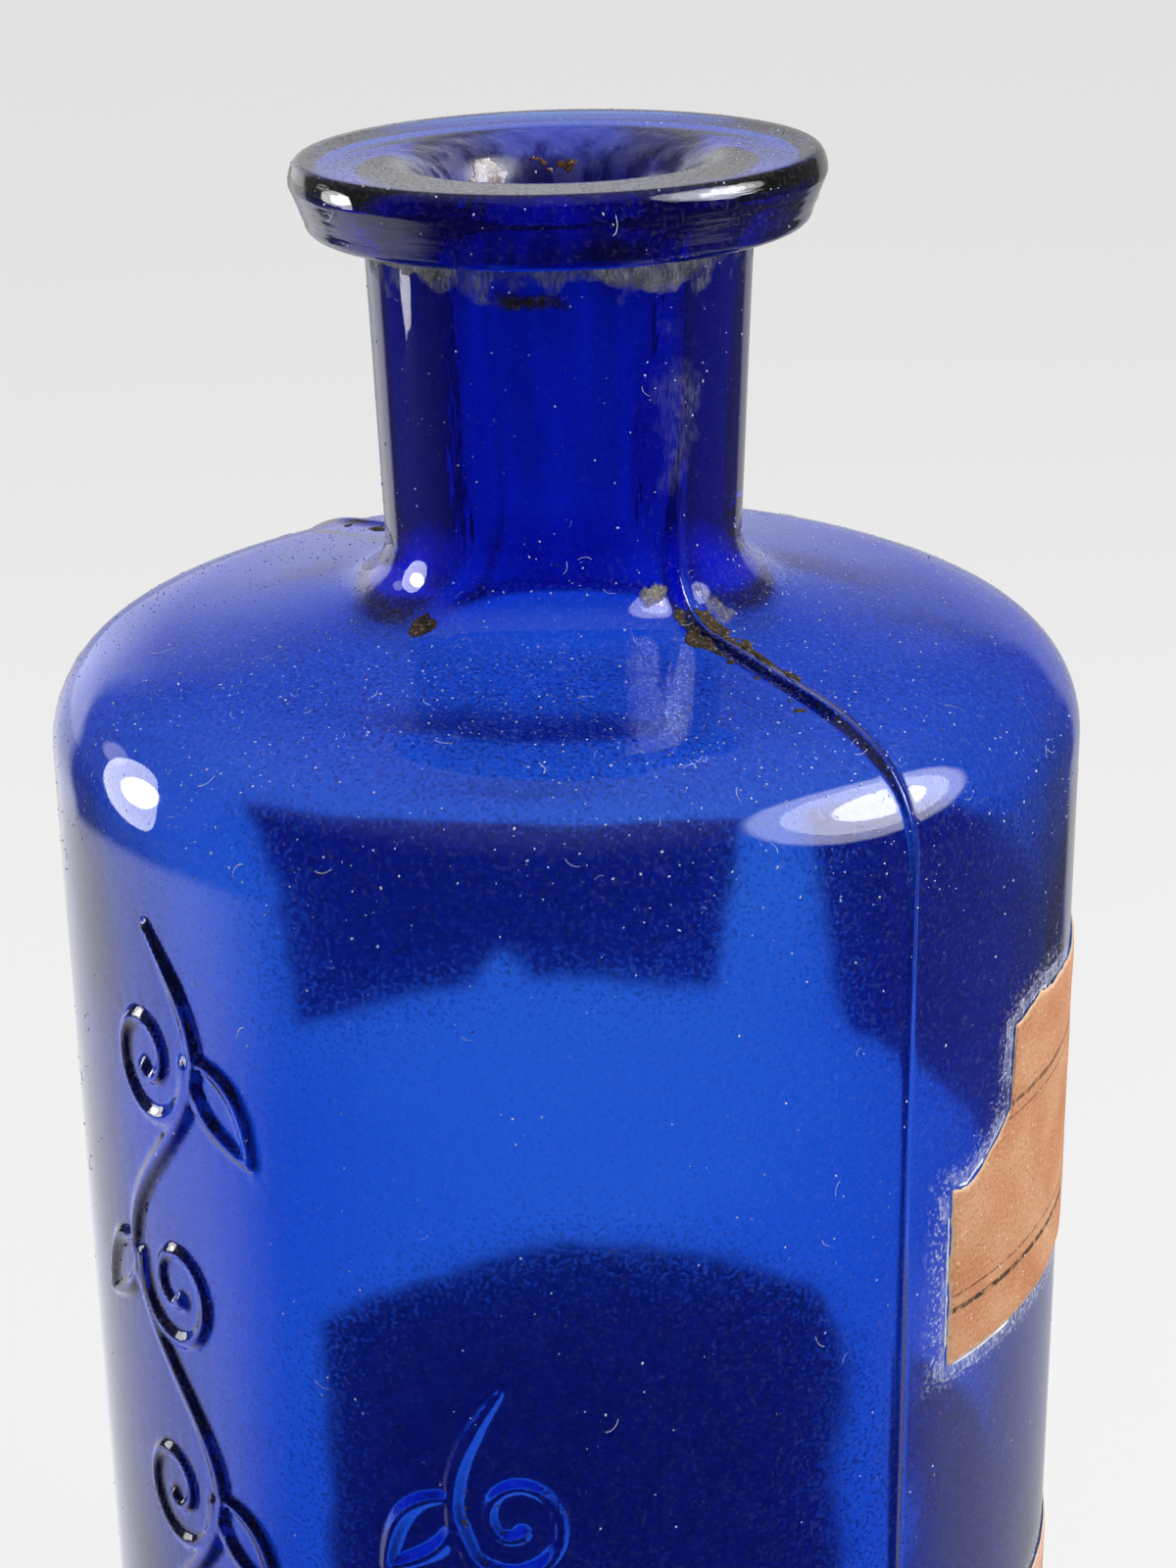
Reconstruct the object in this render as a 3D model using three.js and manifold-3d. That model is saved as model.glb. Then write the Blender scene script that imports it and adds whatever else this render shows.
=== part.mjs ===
// Round apothecary bottle of mould-blown cobalt glass: a hollow body with two mould seams,
// a laid-on flange lip around an open mouth, and the remains of two pasted paper labels.
// Millimetres, +Z up. The origin is the centre of the standing ring, on the table.
// The seams lie at +X and -X. The labels are pasted on the +Y side.
import * as THREE from 'three';
import { mergeVertices } from 'three/addons/utils/BufferGeometryUtils.js';
import Module from 'manifold-3d';

// Glass body
const overallHeight = 176;
const bodyRadius = 39;
const wall = 2.8;
const heelRadius = 4.5;
const standingRingInner = 27;
const pushUpDepth = 2.5;
const floorThickness = 4.5;
const floorCornerRadius = 6;

// Shoulder and neck: two convex arcs, a straight slope and a concave fillet
const shoulderRadius = 7.5;
const crownRadius = 22.5;
const crownStartAngle = 66.4;
const slopeAngle = 80.4;
const shoulderWall = 2.6;
const neckFillet = 4.4;
const neckLength = 22.7;
const neckTopRadius = 14.2;
const neckBaseRadius = 13.4;
const throatRadius = 8.4;
const throatBaseRadius = 7.7;

// Flange lip
const lipThickness = 5.3;
const lipRadius = 19.4;
const lipUndersideRadius = 18.4;
const lipCrownHeight = 1.7;
const lipCrownWidth = 0.9;
const lipCornerRadius = 1.1;
const mouthRollWidth = 4.4;
const mouthRollHeight = 4.2;

// Mould seams: raised ridges that the tooling wiped off the upper neck
const seamWidth = 1.0;
const seamRise = 0.35;
const seamFadeBelowLip = 14;
const seamFadeLength = 6;

// Paper labels. Depths are below the lip's top.
// Places run along the wall from the +X seam towards +Y.
const paperThickness = 0.2;
const pasteGap = 0.06;
const labelStart = 4.8;
const upperLabelEnd = 127;
const upperLabelTop = 56;
const upperLabelBottom = 84;
const lowerLabelEnd = 125.5;
const lowerLabelTop = 112;
const lowerLabelBottom = 158;

// Torn corner and torn top edge of the upper label, beside the seam
const tearCornerDepth = 69.6;
const tearRunOut = 4.1;
const tearStep = 12.3;
const tearStepWidth = 0.3;
const tearStepDepth = 65.8;
const tearTopDepth = 58.6;
const tearTopEnd = 38;
const tearTopRunOut = 7;

// Torn gaps: each label is in two pieces. The upper gap widens downwards.
const upperGapTopFront = 76.3;
const upperGapFootFront = 69.2;
const upperGapTopBack = 80.9;
const upperGapFootBack = 82.7;
const tearTip = 1;
const lowerGapFront = 59;
const lowerGapBack = 68;
const lowerCornerRunOut = 4;
const lowerCornerDrop = 6;

// Notch torn in the upper label's lower edge
const notchPlace = 105.2;
const notchHalfWidth = 3;
const notchRise = 3.6;

// Smoothness of the round forms
const sides = 48;
const columnsPerSide = 4;
const arcSteps = 3;
const mergeDistance = 1e-4;
const leastColumnAngle = 0.01;

// Paper over a seam, in half widths of the seam: where it is lifted, and where it lies flat again
const seamLiftReach = 1.5;
const seamFlatReach = 2;

const radians = THREE.MathUtils.degToRad;
const degrees = THREE.MathUtils.radToDeg;
const lipTop = overallHeight;
const lipUnderside = overallHeight - lipThickness;
const neckBase = lipUnderside - neckLength;
const sideAngle = 360 / sides;
const seamAngles = [0, 180];
const seamSpan = degrees(Math.asin((seamWidth / 2 + pasteGap) / bodyRadius));

const wasm = await Module();
wasm.setup();

function toSolid(geometry) {
  const bare = geometry.clone();
  bare.deleteAttribute('normal');
  bare.deleteAttribute('uv');
  const merged = mergeVertices(bare, mergeDistance);
  const vertProperties = new Float32Array(merged.attributes.position.array);
  const triVerts = new Uint32Array(merged.index.array);
  return new wasm.Manifold(new wasm.Mesh({ numProp: 3, vertProperties, triVerts }));
}

function toGeometry(solid) {
  const mesh = solid.getMesh();
  const geometry = new THREE.BufferGeometry();
  geometry.setAttribute('position', new THREE.BufferAttribute(mesh.vertProperties, 3));
  geometry.setIndex(new THREE.BufferAttribute(mesh.triVerts, 1));
  geometry.computeVertexNormals();
  return geometry;
}

// Turns a profile of (radius, height) points about Z. The profile runs upwards on the outside.
function turned(points) {
  const geometry = new THREE.LatheGeometry(points, sides);
  geometry.rotateX(Math.PI / 2);
  return geometry;
}

// Shoulder curve from the body's wall up to the foot of the neck, as (radius, height) points.
// The heading is 0 straight up and grows inwards. The slope's length closes the curve.
function shoulderCurve({ outer, inner, top, round, crown, fillet }) {
  const crownStart = radians(crownStartAngle);
  const slope = radians(slopeAngle);
  const roundRun = round * (1 - Math.cos(crownStart));
  const crownRun = crown * (Math.cos(crownStart) - Math.cos(slope));
  const filletRun = fillet * (1 - Math.cos(slope));
  const slopeRun = outer - inner - roundRun - crownRun - filletRun;
  const slopeRise = slopeRun / Math.tan(slope);
  const roundRise = round * Math.sin(crownStart);
  const crownRise = crown * (Math.sin(slope) - Math.sin(crownStart));
  const filletRise = fillet * Math.sin(slope);
  const foot = top - filletRise - slopeRise - crownRise - roundRise;
  const crownCentre = new THREE.Vector2(
    outer - roundRun - crown * Math.cos(crownStart),
    foot + roundRise - crown * Math.sin(crownStart),
  );
  const curve = new THREE.Path();
  curve.moveTo(outer, foot);
  curve.absarc(outer - round, foot, round, 0, crownStart);
  curve.absarc(crownCentre.x, crownCentre.y, crown, crownStart, slope);
  curve.lineTo(inner + filletRun, top - filletRise);
  curve.absarc(inner + fillet, top, fillet, Math.PI + slope, Math.PI, true);
  return curve.getPoints(arcSteps);
}

const outerShoulder = shoulderCurve({
  outer: bodyRadius,
  inner: neckBaseRadius,
  top: neckBase,
  round: shoulderRadius,
  crown: crownRadius,
  fillet: neckFillet,
});
const innerShoulder = shoulderCurve({
  outer: bodyRadius - wall,
  inner: throatBaseRadius,
  top: neckBase,
  round: shoulderRadius - wall,
  crown: crownRadius - wall,
  fillet: neckFillet + shoulderWall,
});

// Underside of the base: a shallow push-up inside a flat standing ring, then the heel
function baseCurve() {
  const curve = new THREE.Path();
  const domeRadius = (standingRingInner ** 2 + pushUpDepth ** 2) / (2 * pushUpDepth);
  const domeHalfAngle = Math.asin(standingRingInner / domeRadius);
  curve.moveTo(0, pushUpDepth);
  curve.absarc(0, pushUpDepth - domeRadius, domeRadius, Math.PI / 2, Math.PI / 2 - domeHalfAngle, true);
  curve.lineTo(bodyRadius - heelRadius, 0);
  curve.absarc(bodyRadius - heelRadius, heelRadius, heelRadius, -Math.PI / 2, 0);
  return curve.getPoints(arcSteps);
}

function outerProfile() {
  const neckTop = [new THREE.Vector2(neckTopRadius, lipUnderside), new THREE.Vector2(0, lipUnderside)];
  return [...baseCurve(), ...outerShoulder, ...neckTop];
}

// The hollow runs out past the neck's end, so that it cuts the mouth clean
function hollowProfile() {
  const floor = pushUpDepth + floorThickness;
  const innerWall = bodyRadius - wall;
  const curve = new THREE.Path();
  curve.moveTo(0, floor);
  curve.lineTo(innerWall - floorCornerRadius, floor);
  curve.absarc(innerWall - floorCornerRadius, floor + floorCornerRadius, floorCornerRadius, -Math.PI / 2, 0);
  const pastEnd = lipUnderside + lipThickness;
  const throat = [
    new THREE.Vector2(throatRadius, lipUnderside),
    new THREE.Vector2(throatRadius, pastEnd),
    new THREE.Vector2(0, pastEnd),
  ];
  return [...curve.getPoints(arcSteps), ...innerShoulder, ...throat];
}

// Both seams are the rims of one thin plate that follows the outside of the body and neck
function seamPlate() {
  const fadeEnd = lipTop - seamFadeBelowLip;
  const fadeStart = fadeEnd - seamFadeLength;
  const neckRadiusAt = (height) =>
    THREE.MathUtils.mapLinear(height, neckBase, lipUnderside, neckBaseRadius, neckTopRadius);
  const rim = [
    new THREE.Vector2(bodyRadius + seamRise, heelRadius),
    ...outerShoulder.map((point) => new THREE.Vector2(point.x + seamRise, point.y + seamRise)),
    new THREE.Vector2(neckRadiusAt(fadeStart) + seamRise, fadeStart),
    new THREE.Vector2(neckRadiusAt(fadeEnd) - seamRise, fadeEnd),
  ];
  const mirrored = rim.map((point) => new THREE.Vector2(-point.x, point.y)).reverse();
  const plate = new THREE.ExtrudeGeometry(new THREE.Shape([...rim, ...mirrored]), {
    depth: seamWidth,
    bevelEnabled: false,
  });
  plate.translate(0, 0, -seamWidth / 2);
  plate.rotateX(Math.PI / 2);
  return plate;
}

function glassBody() {
  const outside = toSolid(turned(outerProfile())).add(toSolid(seamPlate()));
  return toGeometry(outside.subtract(toSolid(turned(hollowProfile()))));
}

function lipRing() {
  const sideTop = lipTop - lipCrownHeight;
  const land = lipRadius - lipCrownWidth;
  const mouthRadius = throatRadius + mouthRollWidth;
  const corner = lipUndersideRadius - lipCornerRadius;
  const curve = new THREE.Path();
  curve.moveTo(throatRadius, lipUnderside);
  curve.lineTo(corner, lipUnderside);
  curve.absarc(corner, lipUnderside + lipCornerRadius, lipCornerRadius, -Math.PI / 2, 0);
  curve.lineTo(lipRadius, sideTop);
  curve.absellipse(land, sideTop, lipCrownWidth, lipCrownHeight, 0, Math.PI / 2);
  curve.lineTo(mouthRadius, lipTop);
  curve.absellipse(
    mouthRadius, lipTop - mouthRollHeight, mouthRollWidth, mouthRollHeight, Math.PI / 2, Math.PI,
  );
  curve.lineTo(throatRadius, lipUnderside);
  return turned(curve.getPoints(arcSteps));
}

// Radius that paper is pasted at: the flat-sided body, with a lift where it crosses a seam
function pastedRadius(angle) {
  const fromMiddle = THREE.MathUtils.euclideanModulo(angle, sideAngle) - sideAngle / 2;
  const flat = (bodyRadius * Math.cos(radians(sideAngle / 2))) / Math.cos(radians(fromMiddle));
  const onSeam = seamAngles.some((seam) => Math.abs(angle - seam) < seamLiftReach * seamSpan);
  return flat + pasteGap + (onSeam ? seamRise : 0);
}

// An edge's [place along the wall, depth] corners, turned into [angle, depth] corners
function wrapped(corners) {
  return corners.map(([place, depth]) => [degrees(place / bodyRadius), depth]);
}

// Depth at an angle along an edge that is given as [angle, depth] corners
function edgeDepth(corners, angle) {
  const next = Math.max(1, corners.findIndex(([corner]) => corner >= angle));
  const [fromAngle, fromDepth] = corners[next - 1];
  const [toAngle, toDepth] = corners[next];
  return THREE.MathUtils.mapLinear(angle, fromAngle, toAngle, fromDepth, toDepth);
}

// Angles of a strip's columns: its own corners, the body's flats and the sides of a seam
function columnAngles(corners, start, end) {
  const angles = corners.map(([angle]) => angle);
  const columnAngle = sideAngle / columnsPerSide;
  for (let column = Math.ceil(start / columnAngle); column * columnAngle < end; column += 1) {
    angles.push(column * columnAngle);
  }
  for (const seam of seamAngles) {
    for (const reach of [-seamFlatReach, -1, 1, seamFlatReach]) {
      angles.push(seam + reach * seamSpan);
    }
  }
  const inside = angles.filter((angle) => angle >= start && angle <= end);
  const sorted = inside.sort((a, b) => a - b);
  return sorted.filter((angle, place) => place === 0 || angle - sorted[place - 1] > leastColumnAngle);
}

// A pasted strip of paper between a top and a bottom edge, both given as [place, depth] corners
function paperStrip(topCorners, bottomCorners) {
  const topEdge = wrapped(topCorners);
  const bottomEdge = wrapped(bottomCorners);
  const start = topEdge[0][0];
  const end = topEdge.at(-1)[0];
  const columns = columnAngles([...topEdge, ...bottomEdge], start, end);
  const positions = [];
  for (const angle of columns) {
    const direction = [Math.cos(radians(angle)), Math.sin(radians(angle))];
    const pasted = pastedRadius(angle);
    const low = overallHeight - edgeDepth(bottomEdge, angle);
    const high = overallHeight - edgeDepth(topEdge, angle);
    const ring = [
      [pasted, low],
      [pasted + paperThickness, low],
      [pasted + paperThickness, high],
      [pasted, high],
    ];
    for (const [radius, height] of ring) {
      positions.push(radius * direction[0], radius * direction[1], height);
    }
  }
  const corners = 4;
  const index = [0, 1, 2, 0, 2, 3];
  for (let column = 0; column < columns.length - 1; column += 1) {
    for (let corner = 0; corner < corners; corner += 1) {
      const here = column * corners + corner;
      const beside = column * corners + ((corner + 1) % corners);
      index.push(here, here + corners, beside, beside, here + corners, beside + corners);
    }
  }
  const last = (columns.length - 1) * corners;
  index.push(last, last + 2, last + 1, last, last + 3, last + 2);
  const geometry = new THREE.BufferGeometry();
  geometry.setAttribute('position', new THREE.Float32BufferAttribute(positions, 3));
  geometry.setIndex(index);
  geometry.computeVertexNormals();
  return geometry;
}

// The upper label's piece beside the seam: its corner is torn off, and it ends at the tear
function upperLabelFront() {
  const topEdge = [
    [labelStart, tearCornerDepth],
    [tearStep - tearRunOut, tearCornerDepth],
    [tearStep - tearStepWidth, tearStepDepth],
    [tearStep, tearTopDepth],
    [tearTopEnd, tearTopDepth],
    [tearTopEnd + tearTopRunOut, upperLabelTop],
    [upperGapTopFront, upperLabelTop],
  ];
  const bottomEdge = [
    [labelStart, upperLabelBottom],
    [upperGapFootFront, upperLabelBottom],
    [upperGapTopFront, upperLabelTop + tearTip],
  ];
  return paperStrip(topEdge, bottomEdge);
}

// The upper label's piece beyond the gap, with a small notch torn in its lower edge
function upperLabelBack() {
  const topEdge = [
    [upperGapTopBack, upperLabelTop],
    [upperLabelEnd, upperLabelTop],
  ];
  const bottomEdge = [
    [upperGapTopBack, upperLabelTop + tearTip],
    [upperGapFootBack, upperLabelBottom],
    [notchPlace - notchHalfWidth, upperLabelBottom],
    [notchPlace, upperLabelBottom - notchRise],
    [notchPlace + notchHalfWidth, upperLabelBottom],
    [upperLabelEnd, upperLabelBottom],
  ];
  return paperStrip(topEdge, bottomEdge);
}

function lowerLabelFront() {
  const edge = (depth) => [
    [labelStart, depth],
    [lowerGapFront, depth],
  ];
  return paperStrip(edge(lowerLabelTop), edge(lowerLabelBottom));
}

// The lower label's piece beyond the gap, with its upper corner torn off
function lowerLabelBack() {
  const topEdge = [
    [lowerGapBack, lowerLabelTop + lowerCornerDrop],
    [lowerGapBack + lowerCornerRunOut, lowerLabelTop],
    [lowerLabelEnd, lowerLabelTop],
  ];
  const bottomEdge = [
    [lowerGapBack, lowerLabelBottom],
    [lowerLabelEnd, lowerLabelBottom],
  ];
  return paperStrip(topEdge, bottomEdge);
}

function piece(name, geometry, material) {
  const mesh = new THREE.Mesh(geometry, material);
  mesh.name = name;
  return mesh;
}

function cobaltGlass() {
  return new THREE.MeshStandardMaterial({
    color: 0x1236a8,
    roughness: 0.08,
    metalness: 0,
    transparent: true,
    opacity: 0.6,
  });
}

function agedPaper(color) {
  return new THREE.MeshStandardMaterial({ color, roughness: 0.85, metalness: 0 });
}

const bottle = new THREE.Group();
bottle.add(piece('bottle_body', glassBody(), cobaltGlass()));
bottle.add(piece('lip_ring', lipRing(), cobaltGlass()));
bottle.add(piece('upper_label_front', upperLabelFront(), agedPaper(0xc98058)));
bottle.add(piece('upper_label_back', upperLabelBack(), agedPaper(0xc98058)));
bottle.add(piece('lower_label_front', lowerLabelFront(), agedPaper(0xd0a08a)));
bottle.add(piece('lower_label_back', lowerLabelBack(), agedPaper(0xd0a08a)));

export default bottle;
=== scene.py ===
# Cobalt apothecary bottle: blown glass, torn paper labels, dirt and dust, on a pale floor
import math
import bmesh
import bpy
import numpy as np
from mathutils import Matrix, Vector, kdtree, noise


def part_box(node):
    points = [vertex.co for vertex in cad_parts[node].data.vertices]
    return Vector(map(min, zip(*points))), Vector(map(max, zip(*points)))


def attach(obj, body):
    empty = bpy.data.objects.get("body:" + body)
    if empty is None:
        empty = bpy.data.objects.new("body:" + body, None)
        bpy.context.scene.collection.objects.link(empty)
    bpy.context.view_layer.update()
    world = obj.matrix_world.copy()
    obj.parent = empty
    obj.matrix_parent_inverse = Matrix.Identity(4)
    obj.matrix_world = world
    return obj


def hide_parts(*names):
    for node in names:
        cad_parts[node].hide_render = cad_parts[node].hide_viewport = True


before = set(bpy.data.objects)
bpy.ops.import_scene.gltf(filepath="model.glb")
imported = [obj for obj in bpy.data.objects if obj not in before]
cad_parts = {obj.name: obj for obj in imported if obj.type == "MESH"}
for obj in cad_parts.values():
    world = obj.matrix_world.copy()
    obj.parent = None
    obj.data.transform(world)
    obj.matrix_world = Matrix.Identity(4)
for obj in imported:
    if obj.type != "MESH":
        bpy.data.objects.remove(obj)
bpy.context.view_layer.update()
mm = 0.001
lipLow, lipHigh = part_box("lip_ring")
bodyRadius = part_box("bottle_body")[1].y / mm
lipRadius = lipHigh.y / mm
lipTop = lipHigh.z / mm
lipBottom = lipLow.z / mm
seamAngles = (0.0, 180.0)
print("frame: body radius %.2f, lip radius %.2f, height %.2f mm" % (bodyRadius, lipRadius, lipTop))


def srgb(code):
    parts = [int(code[k:k + 2], 16) / 255 for k in (0, 2, 4)]
    return [p / 12.92 if p <= 0.04045 else ((p + 0.055) / 1.055) ** 2.4 for p in parts] + [1.0]


# Adds a node. Inputs that are sockets are linked, the others are set
def addNode(tree, kind, settings=None, inputs=None):
    node = tree.nodes.new(kind)
    for name, value in (settings or {}).items():
        setattr(node, name, value)
    for name, value in (inputs or {}).items():
        if isinstance(value, bpy.types.NodeSocket):
            tree.links.new(value, node.inputs[name])
        else:
            node.inputs[name].default_value = value
    return node


# One output of a new shader node
def shader(tree, kind, inputs=None, output=0, **settings):
    return addNode(tree, "ShaderNode" + kind, settings, inputs).outputs[output]


def calc(tree, operation, *values, clamp=False):
    return shader(tree, "Math", dict(enumerate(values)), operation=operation, use_clamp=clamp)


def vectorCalc(tree, operation, *values):
    output = "Value" if operation in ("DOT_PRODUCT", "LENGTH") else "Vector"
    return shader(tree, "VectorMath", dict(enumerate(values)), output, operation=operation)


# A value carried from one range to another, evenly or with soft ends
def fit(tree, value, low, high, atLow=0.0, atHigh=1.0, kind="LINEAR"):
    ends = {"Value": value, "From Min": low, "From Max": high, "To Min": atLow, "To Max": atHigh}
    return shader(tree, "MapRange", ends, "Result", interpolation_type=kind)


def ramp(tree, value, *ends):
    return fit(tree, value, *ends, kind="SMOOTHSTEP")


def mixed(tree, factor, first, second):
    return shader(tree, "Mix", {0: factor, 2: first, 3: second}, data_type="FLOAT")


# Mixes two colours, each a hex code or a socket
def tinted(tree, factor, *colours):
    first, second = (srgb(c) if isinstance(c, str) else c for c in colours)
    return shader(tree, "Mix", {0: factor, 6: first, 7: second}, 2, data_type="RGBA")


def attribute(tree, name, output="Fac"):
    return shader(tree, "Attribute", None, output, attribute_name=name)


def objectPlace(tree):
    return shader(tree, "TexCoord", None, "Object")


def noiseAt(tree, place, scale, detail):
    return shader(tree, "TexNoise", {"Vector": place, "Scale": scale, "Detail": detail}, "Fac")


# Noise drawn out along the height, by its sizes across and up in mm
def drawnNoise(tree, place, sizes, detail):
    across, up = (1 / (s * mm) for s in sizes)
    return noiseAt(tree, vectorCalc(tree, "MULTIPLY", place, (across, across, up)), 1.0, detail)


def bumped(tree, height, strength, distance, **more):
    return shader(tree, "Bump", {"Height": height, "Strength": strength, "Distance": distance * mm, **more})


def mattSurface(tree, colour, normal, roughness, shine, alpha=1.0):
    surface = shader(tree, "BsdfPrincipled", {
        "Base Color": colour, "Normal": normal, "Roughness": roughness, "Specular IOR Level": shine,
        "Alpha": alpha})
    addNode(tree, "ShaderNodeOutputMaterial", None, {"Surface": surface})


def newMaterial(name):
    material = bpy.data.materials.new(name)
    material.use_nodes = True
    tree = material.node_tree
    tree.nodes.clear()
    return material, tree


def linkNew(name, data):
    made = bpy.data.objects.new(name, data)
    bpy.context.scene.collection.objects.link(made)
    return made


def newObject(name, points, faces, material, smooth=True):
    mesh = bpy.data.meshes.new(name)
    mesh.from_pydata([tuple(p) for p in points], [], faces)
    mesh.polygons.foreach_set("use_smooth", [smooth] * len(mesh.polygons))
    if material:
        mesh.materials.append(material)
    mesh.update()
    return linkNew(name, mesh)


# One number for each point of a mesh
def addShare(mesh, name, values):
    layer = mesh.attributes.new(name, "FLOAT", "POINT")
    layer.data.foreach_set("value", values)


# Quads between rings of points, each ring closed
def ringFaces(rings, count):
    faces = []
    for row in range(rings - 1):
        for k in range(count):
            a, b = row * count + k, row * count + (k + 1) % count
            faces.append((a, b, b + count, a + count))
    return faces


def flatLookup(points):
    lookup = kdtree.KDTree(len(points))
    for index, p in enumerate(points):
        lookup.insert((p[0], p[1], 0), index)
    lookup.balance()
    return lookup


def nearest(lookup, places):
    return np.array([lookup.find((p[0], p[1], 0))[2] for p in places])


# Length along a line of corners, from its start to each of them
def runAlong(corners):
    return np.concatenate([[0], np.cumsum(np.hypot(*np.diff(corners, axis=0).T))])


# Points at even steps along a line of corners
def walk(corners, step):
    run = runAlong(corners)
    steps = np.arange(0, run[-1], step)
    return np.stack([np.interp(steps, run, corners[:, k]) for k in (0, 1)], -1)


# Points by their radius, angle and height
def around(radius, turn, height):
    return np.stack([radius * np.cos(turn), radius * np.sin(turn), height], -1)


# Rows and columns of a grid, for each of its points
def gridOf(rows, columns):
    return [g.ravel() for g in np.meshgrid(rows, columns, indexing="ij")]


def smoothstep(low, high, value):
    t = np.clip((value - low) / (high - low), 0.0, 1.0)
    return t * t * (3 - 2 * t)


# Fractal noise at a list of points, sized in millimetres
def grainAt(points, size, octaves=3, shift=0.0):
    offset = Vector((shift, shift * 1.7, shift * 0.6))
    return np.array([noise.fractal(Vector(p) / size + offset, 1.0, 2.0, octaves) for p in points])


# Camera: the photograph's place, from an outline fit of the glass
view = {
    "azimuth": -36.5,  # compass angle of the camera from +X, degrees
    "distance": 217.7,  # from the bottle's axis, mm
    "aboveLip": 35.5,
    "yaw": 0.41,
    "pitch": 21.19,
    "roll": 0.80,
    "focalPixels": 3071,
    "framePixels": 1600,  # long side of the photograph
    "sensor": 36.0,
}


def buildCamera():
    data = bpy.data.cameras.new("photoCamera")
    data.lens = view["focalPixels"] / view["framePixels"] * view["sensor"]
    data.sensor_width = view["sensor"]
    data.clip_start = 0.01
    camera = linkNew("photoCamera", data)
    place = around(view["distance"], math.radians(view["azimuth"]), lipTop + view["aboveLip"]) * mm
    matrix = Matrix.Translation(place)
    turns = ((90 + view["azimuth"] - view["yaw"], "Z"), (90 - view["pitch"], "X"), (-view["roll"], "Z"))
    for angle, axis in turns:
        matrix = matrix @ Matrix.Rotation(math.radians(angle), 4, axis)
    camera.matrix_world = matrix
    bpy.context.scene.camera = camera
    print("camera: lens %.1f mm" % data.lens)


# Glass: one blown skin, outside and inside, in millimetres
glass = {
    "wall": 2.8,
    "heelRadius": 4.5,
    "standingRing": 27.0,
    "pushUp": 2.5,
    "floor": 4.5,
    "floorCorner": 6.0,
    "outerShoulder": {
        "rounding": 7.5, "crown": 20.0, "start": 63.0, "slope": 80.8, "fillet": 4.4, "lift": 0.0},
    "innerShoulder": {
        "rounding": 5.3, "crown": 24.4, "start": 68.2, "slope": 81.5, "fillet": 8.1, "lift": 0.85},
    "shoulderWall": 2.34,  # the wall thins towards the shoulder's corner
    "thinReach": 17.0,
    "neckLength": 22.7,
    "neckTop": 14.2,
    "neckBase": 13.4,
    "throat": 8.4,
    "throatBase": 7.7,
    "lipUnderside": 18.4,
    "lipCrown": (0.9, 1.7),
    "lipCorner": 1.1,
    "lipSide": (17.3, 18.2),  # radii where the tooled side begins
    "mouthRoll": (4.4, 4.4),
    "lipDish": 0.3,
    "lipTilt": 0.656,  # the tooled lip leans, degrees
    "lipTiltTowards": 53.5,  # its high side, degrees from +X
    "tiltDepths": (11.0, 5.5),  # below the lip's top, from none to all of the lean
    "columns": 150,
    "firstColumn": -170.0,
    "seamColumns": (0.15, 0.35, 0.6, 0.85, 1.5),  # finer columns beside a seam, degrees
    "wallStep": 1.6,
    "innerStep": 3.0,
    "outerWave": 0.03,
    "innerWave": 0.22,
    "waveSize": 17.0,
    "waveFade": (0.0, 6.0),  # radii near the axis, where the inside evens out
    "throatStreak": 0.22,
    "streakSize": 4.0,
    "streakDraw": (1, 1, 0.12),
    "streakFrom": (0.0, 3.0),  # from the throat's start
    "streakTo": (2.0, -4.0),  # from its end
}

# Dust film on the glass, as shares of full cover
haze = {
    "shoulder": 0.02,
    "lip": 0.015,
    "neck": 0.004,
    "wall": 0.014,
    "lipTop": 0.03,
    "lipTopDepths": (3.0, 0.8),  # below the lip's top, from none to all
    "lipRim": 0.4,  # the rim itself is wiped
    "neckFoot": 0.14,  # at the sides and back
    "neckFootRing": (15.5, 1.6),  # its radius and reach
    "neckFootHeights": (-1.5, 4.0),  # its middle above the neck's foot, and half its height
    "neckFootBehind": (0.45, -0.25),
    "labelHalo": 0.3,
    "haloReach": (0.4, 2.6),  # mm outside a label's edge
}

# Mould seams: a rounded ridge, strongest at the foot of the neck, wiped off above
seam = {
    "halfWidth": 0.5,
    "shoulderHalfWidth": 0.85,
    "wallRise": 0.14,
    "shoulderRise": 0.4,
    "neckRise": 0.6,
    "upperNeckRise": 0.1,
    "fadeFrom": 24.0,  # below the lip top
    "fadeTo": 17.0,
    "step": 0.06,  # the mould halves don't quite meet
    "stepWidth": 0.3,
    "stepReach": 5.0,
    "broadens": (3.0, 12.0),  # above the wall's end
}


# Continues a path of radii and heights by an arc between two angles
def arcFrom(path, radii, start, end, steps):
    turns = np.radians(np.linspace(start, end, steps + 1))
    wide, tall = np.broadcast_to(radii, 2)
    across = path[-1][0] + wide * (np.cos(turns) - np.cos(turns[0]))
    return path + list(zip(across, path[-1][1] + tall * (np.sin(turns) - np.sin(turns[0]))))


def lineTo(path, end, steps):
    return path + list(zip(*(np.linspace(path[-1][k], end[k], steps + 1) for k in (0, 1))))


# A shoulder: two convex arcs, a straight slope and a concave fillet up to the neck
def shoulderPoints(outer, inner, top, shape):
    start, slope = shape["start"], shape["slope"]
    path = arcFrom([(outer, 0.0)], shape["rounding"], 0, start, 12)
    path = arcFrom(path, shape["crown"], start, slope, 6)
    filletStart = inner + shape["fillet"] * (1 - math.cos(math.radians(slope)))
    slopeRise = (path[-1][0] - filletStart) / math.tan(math.radians(slope))
    path = lineTo(path, (filletStart, path[-1][1] + slopeRise), 10)
    path = arcFrom(path, shape["fillet"], 180 + slope, 180, 8)
    foot = top + shape["lift"] - path[-1][1]
    return [(r, foot + z) for r, z in path]


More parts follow.
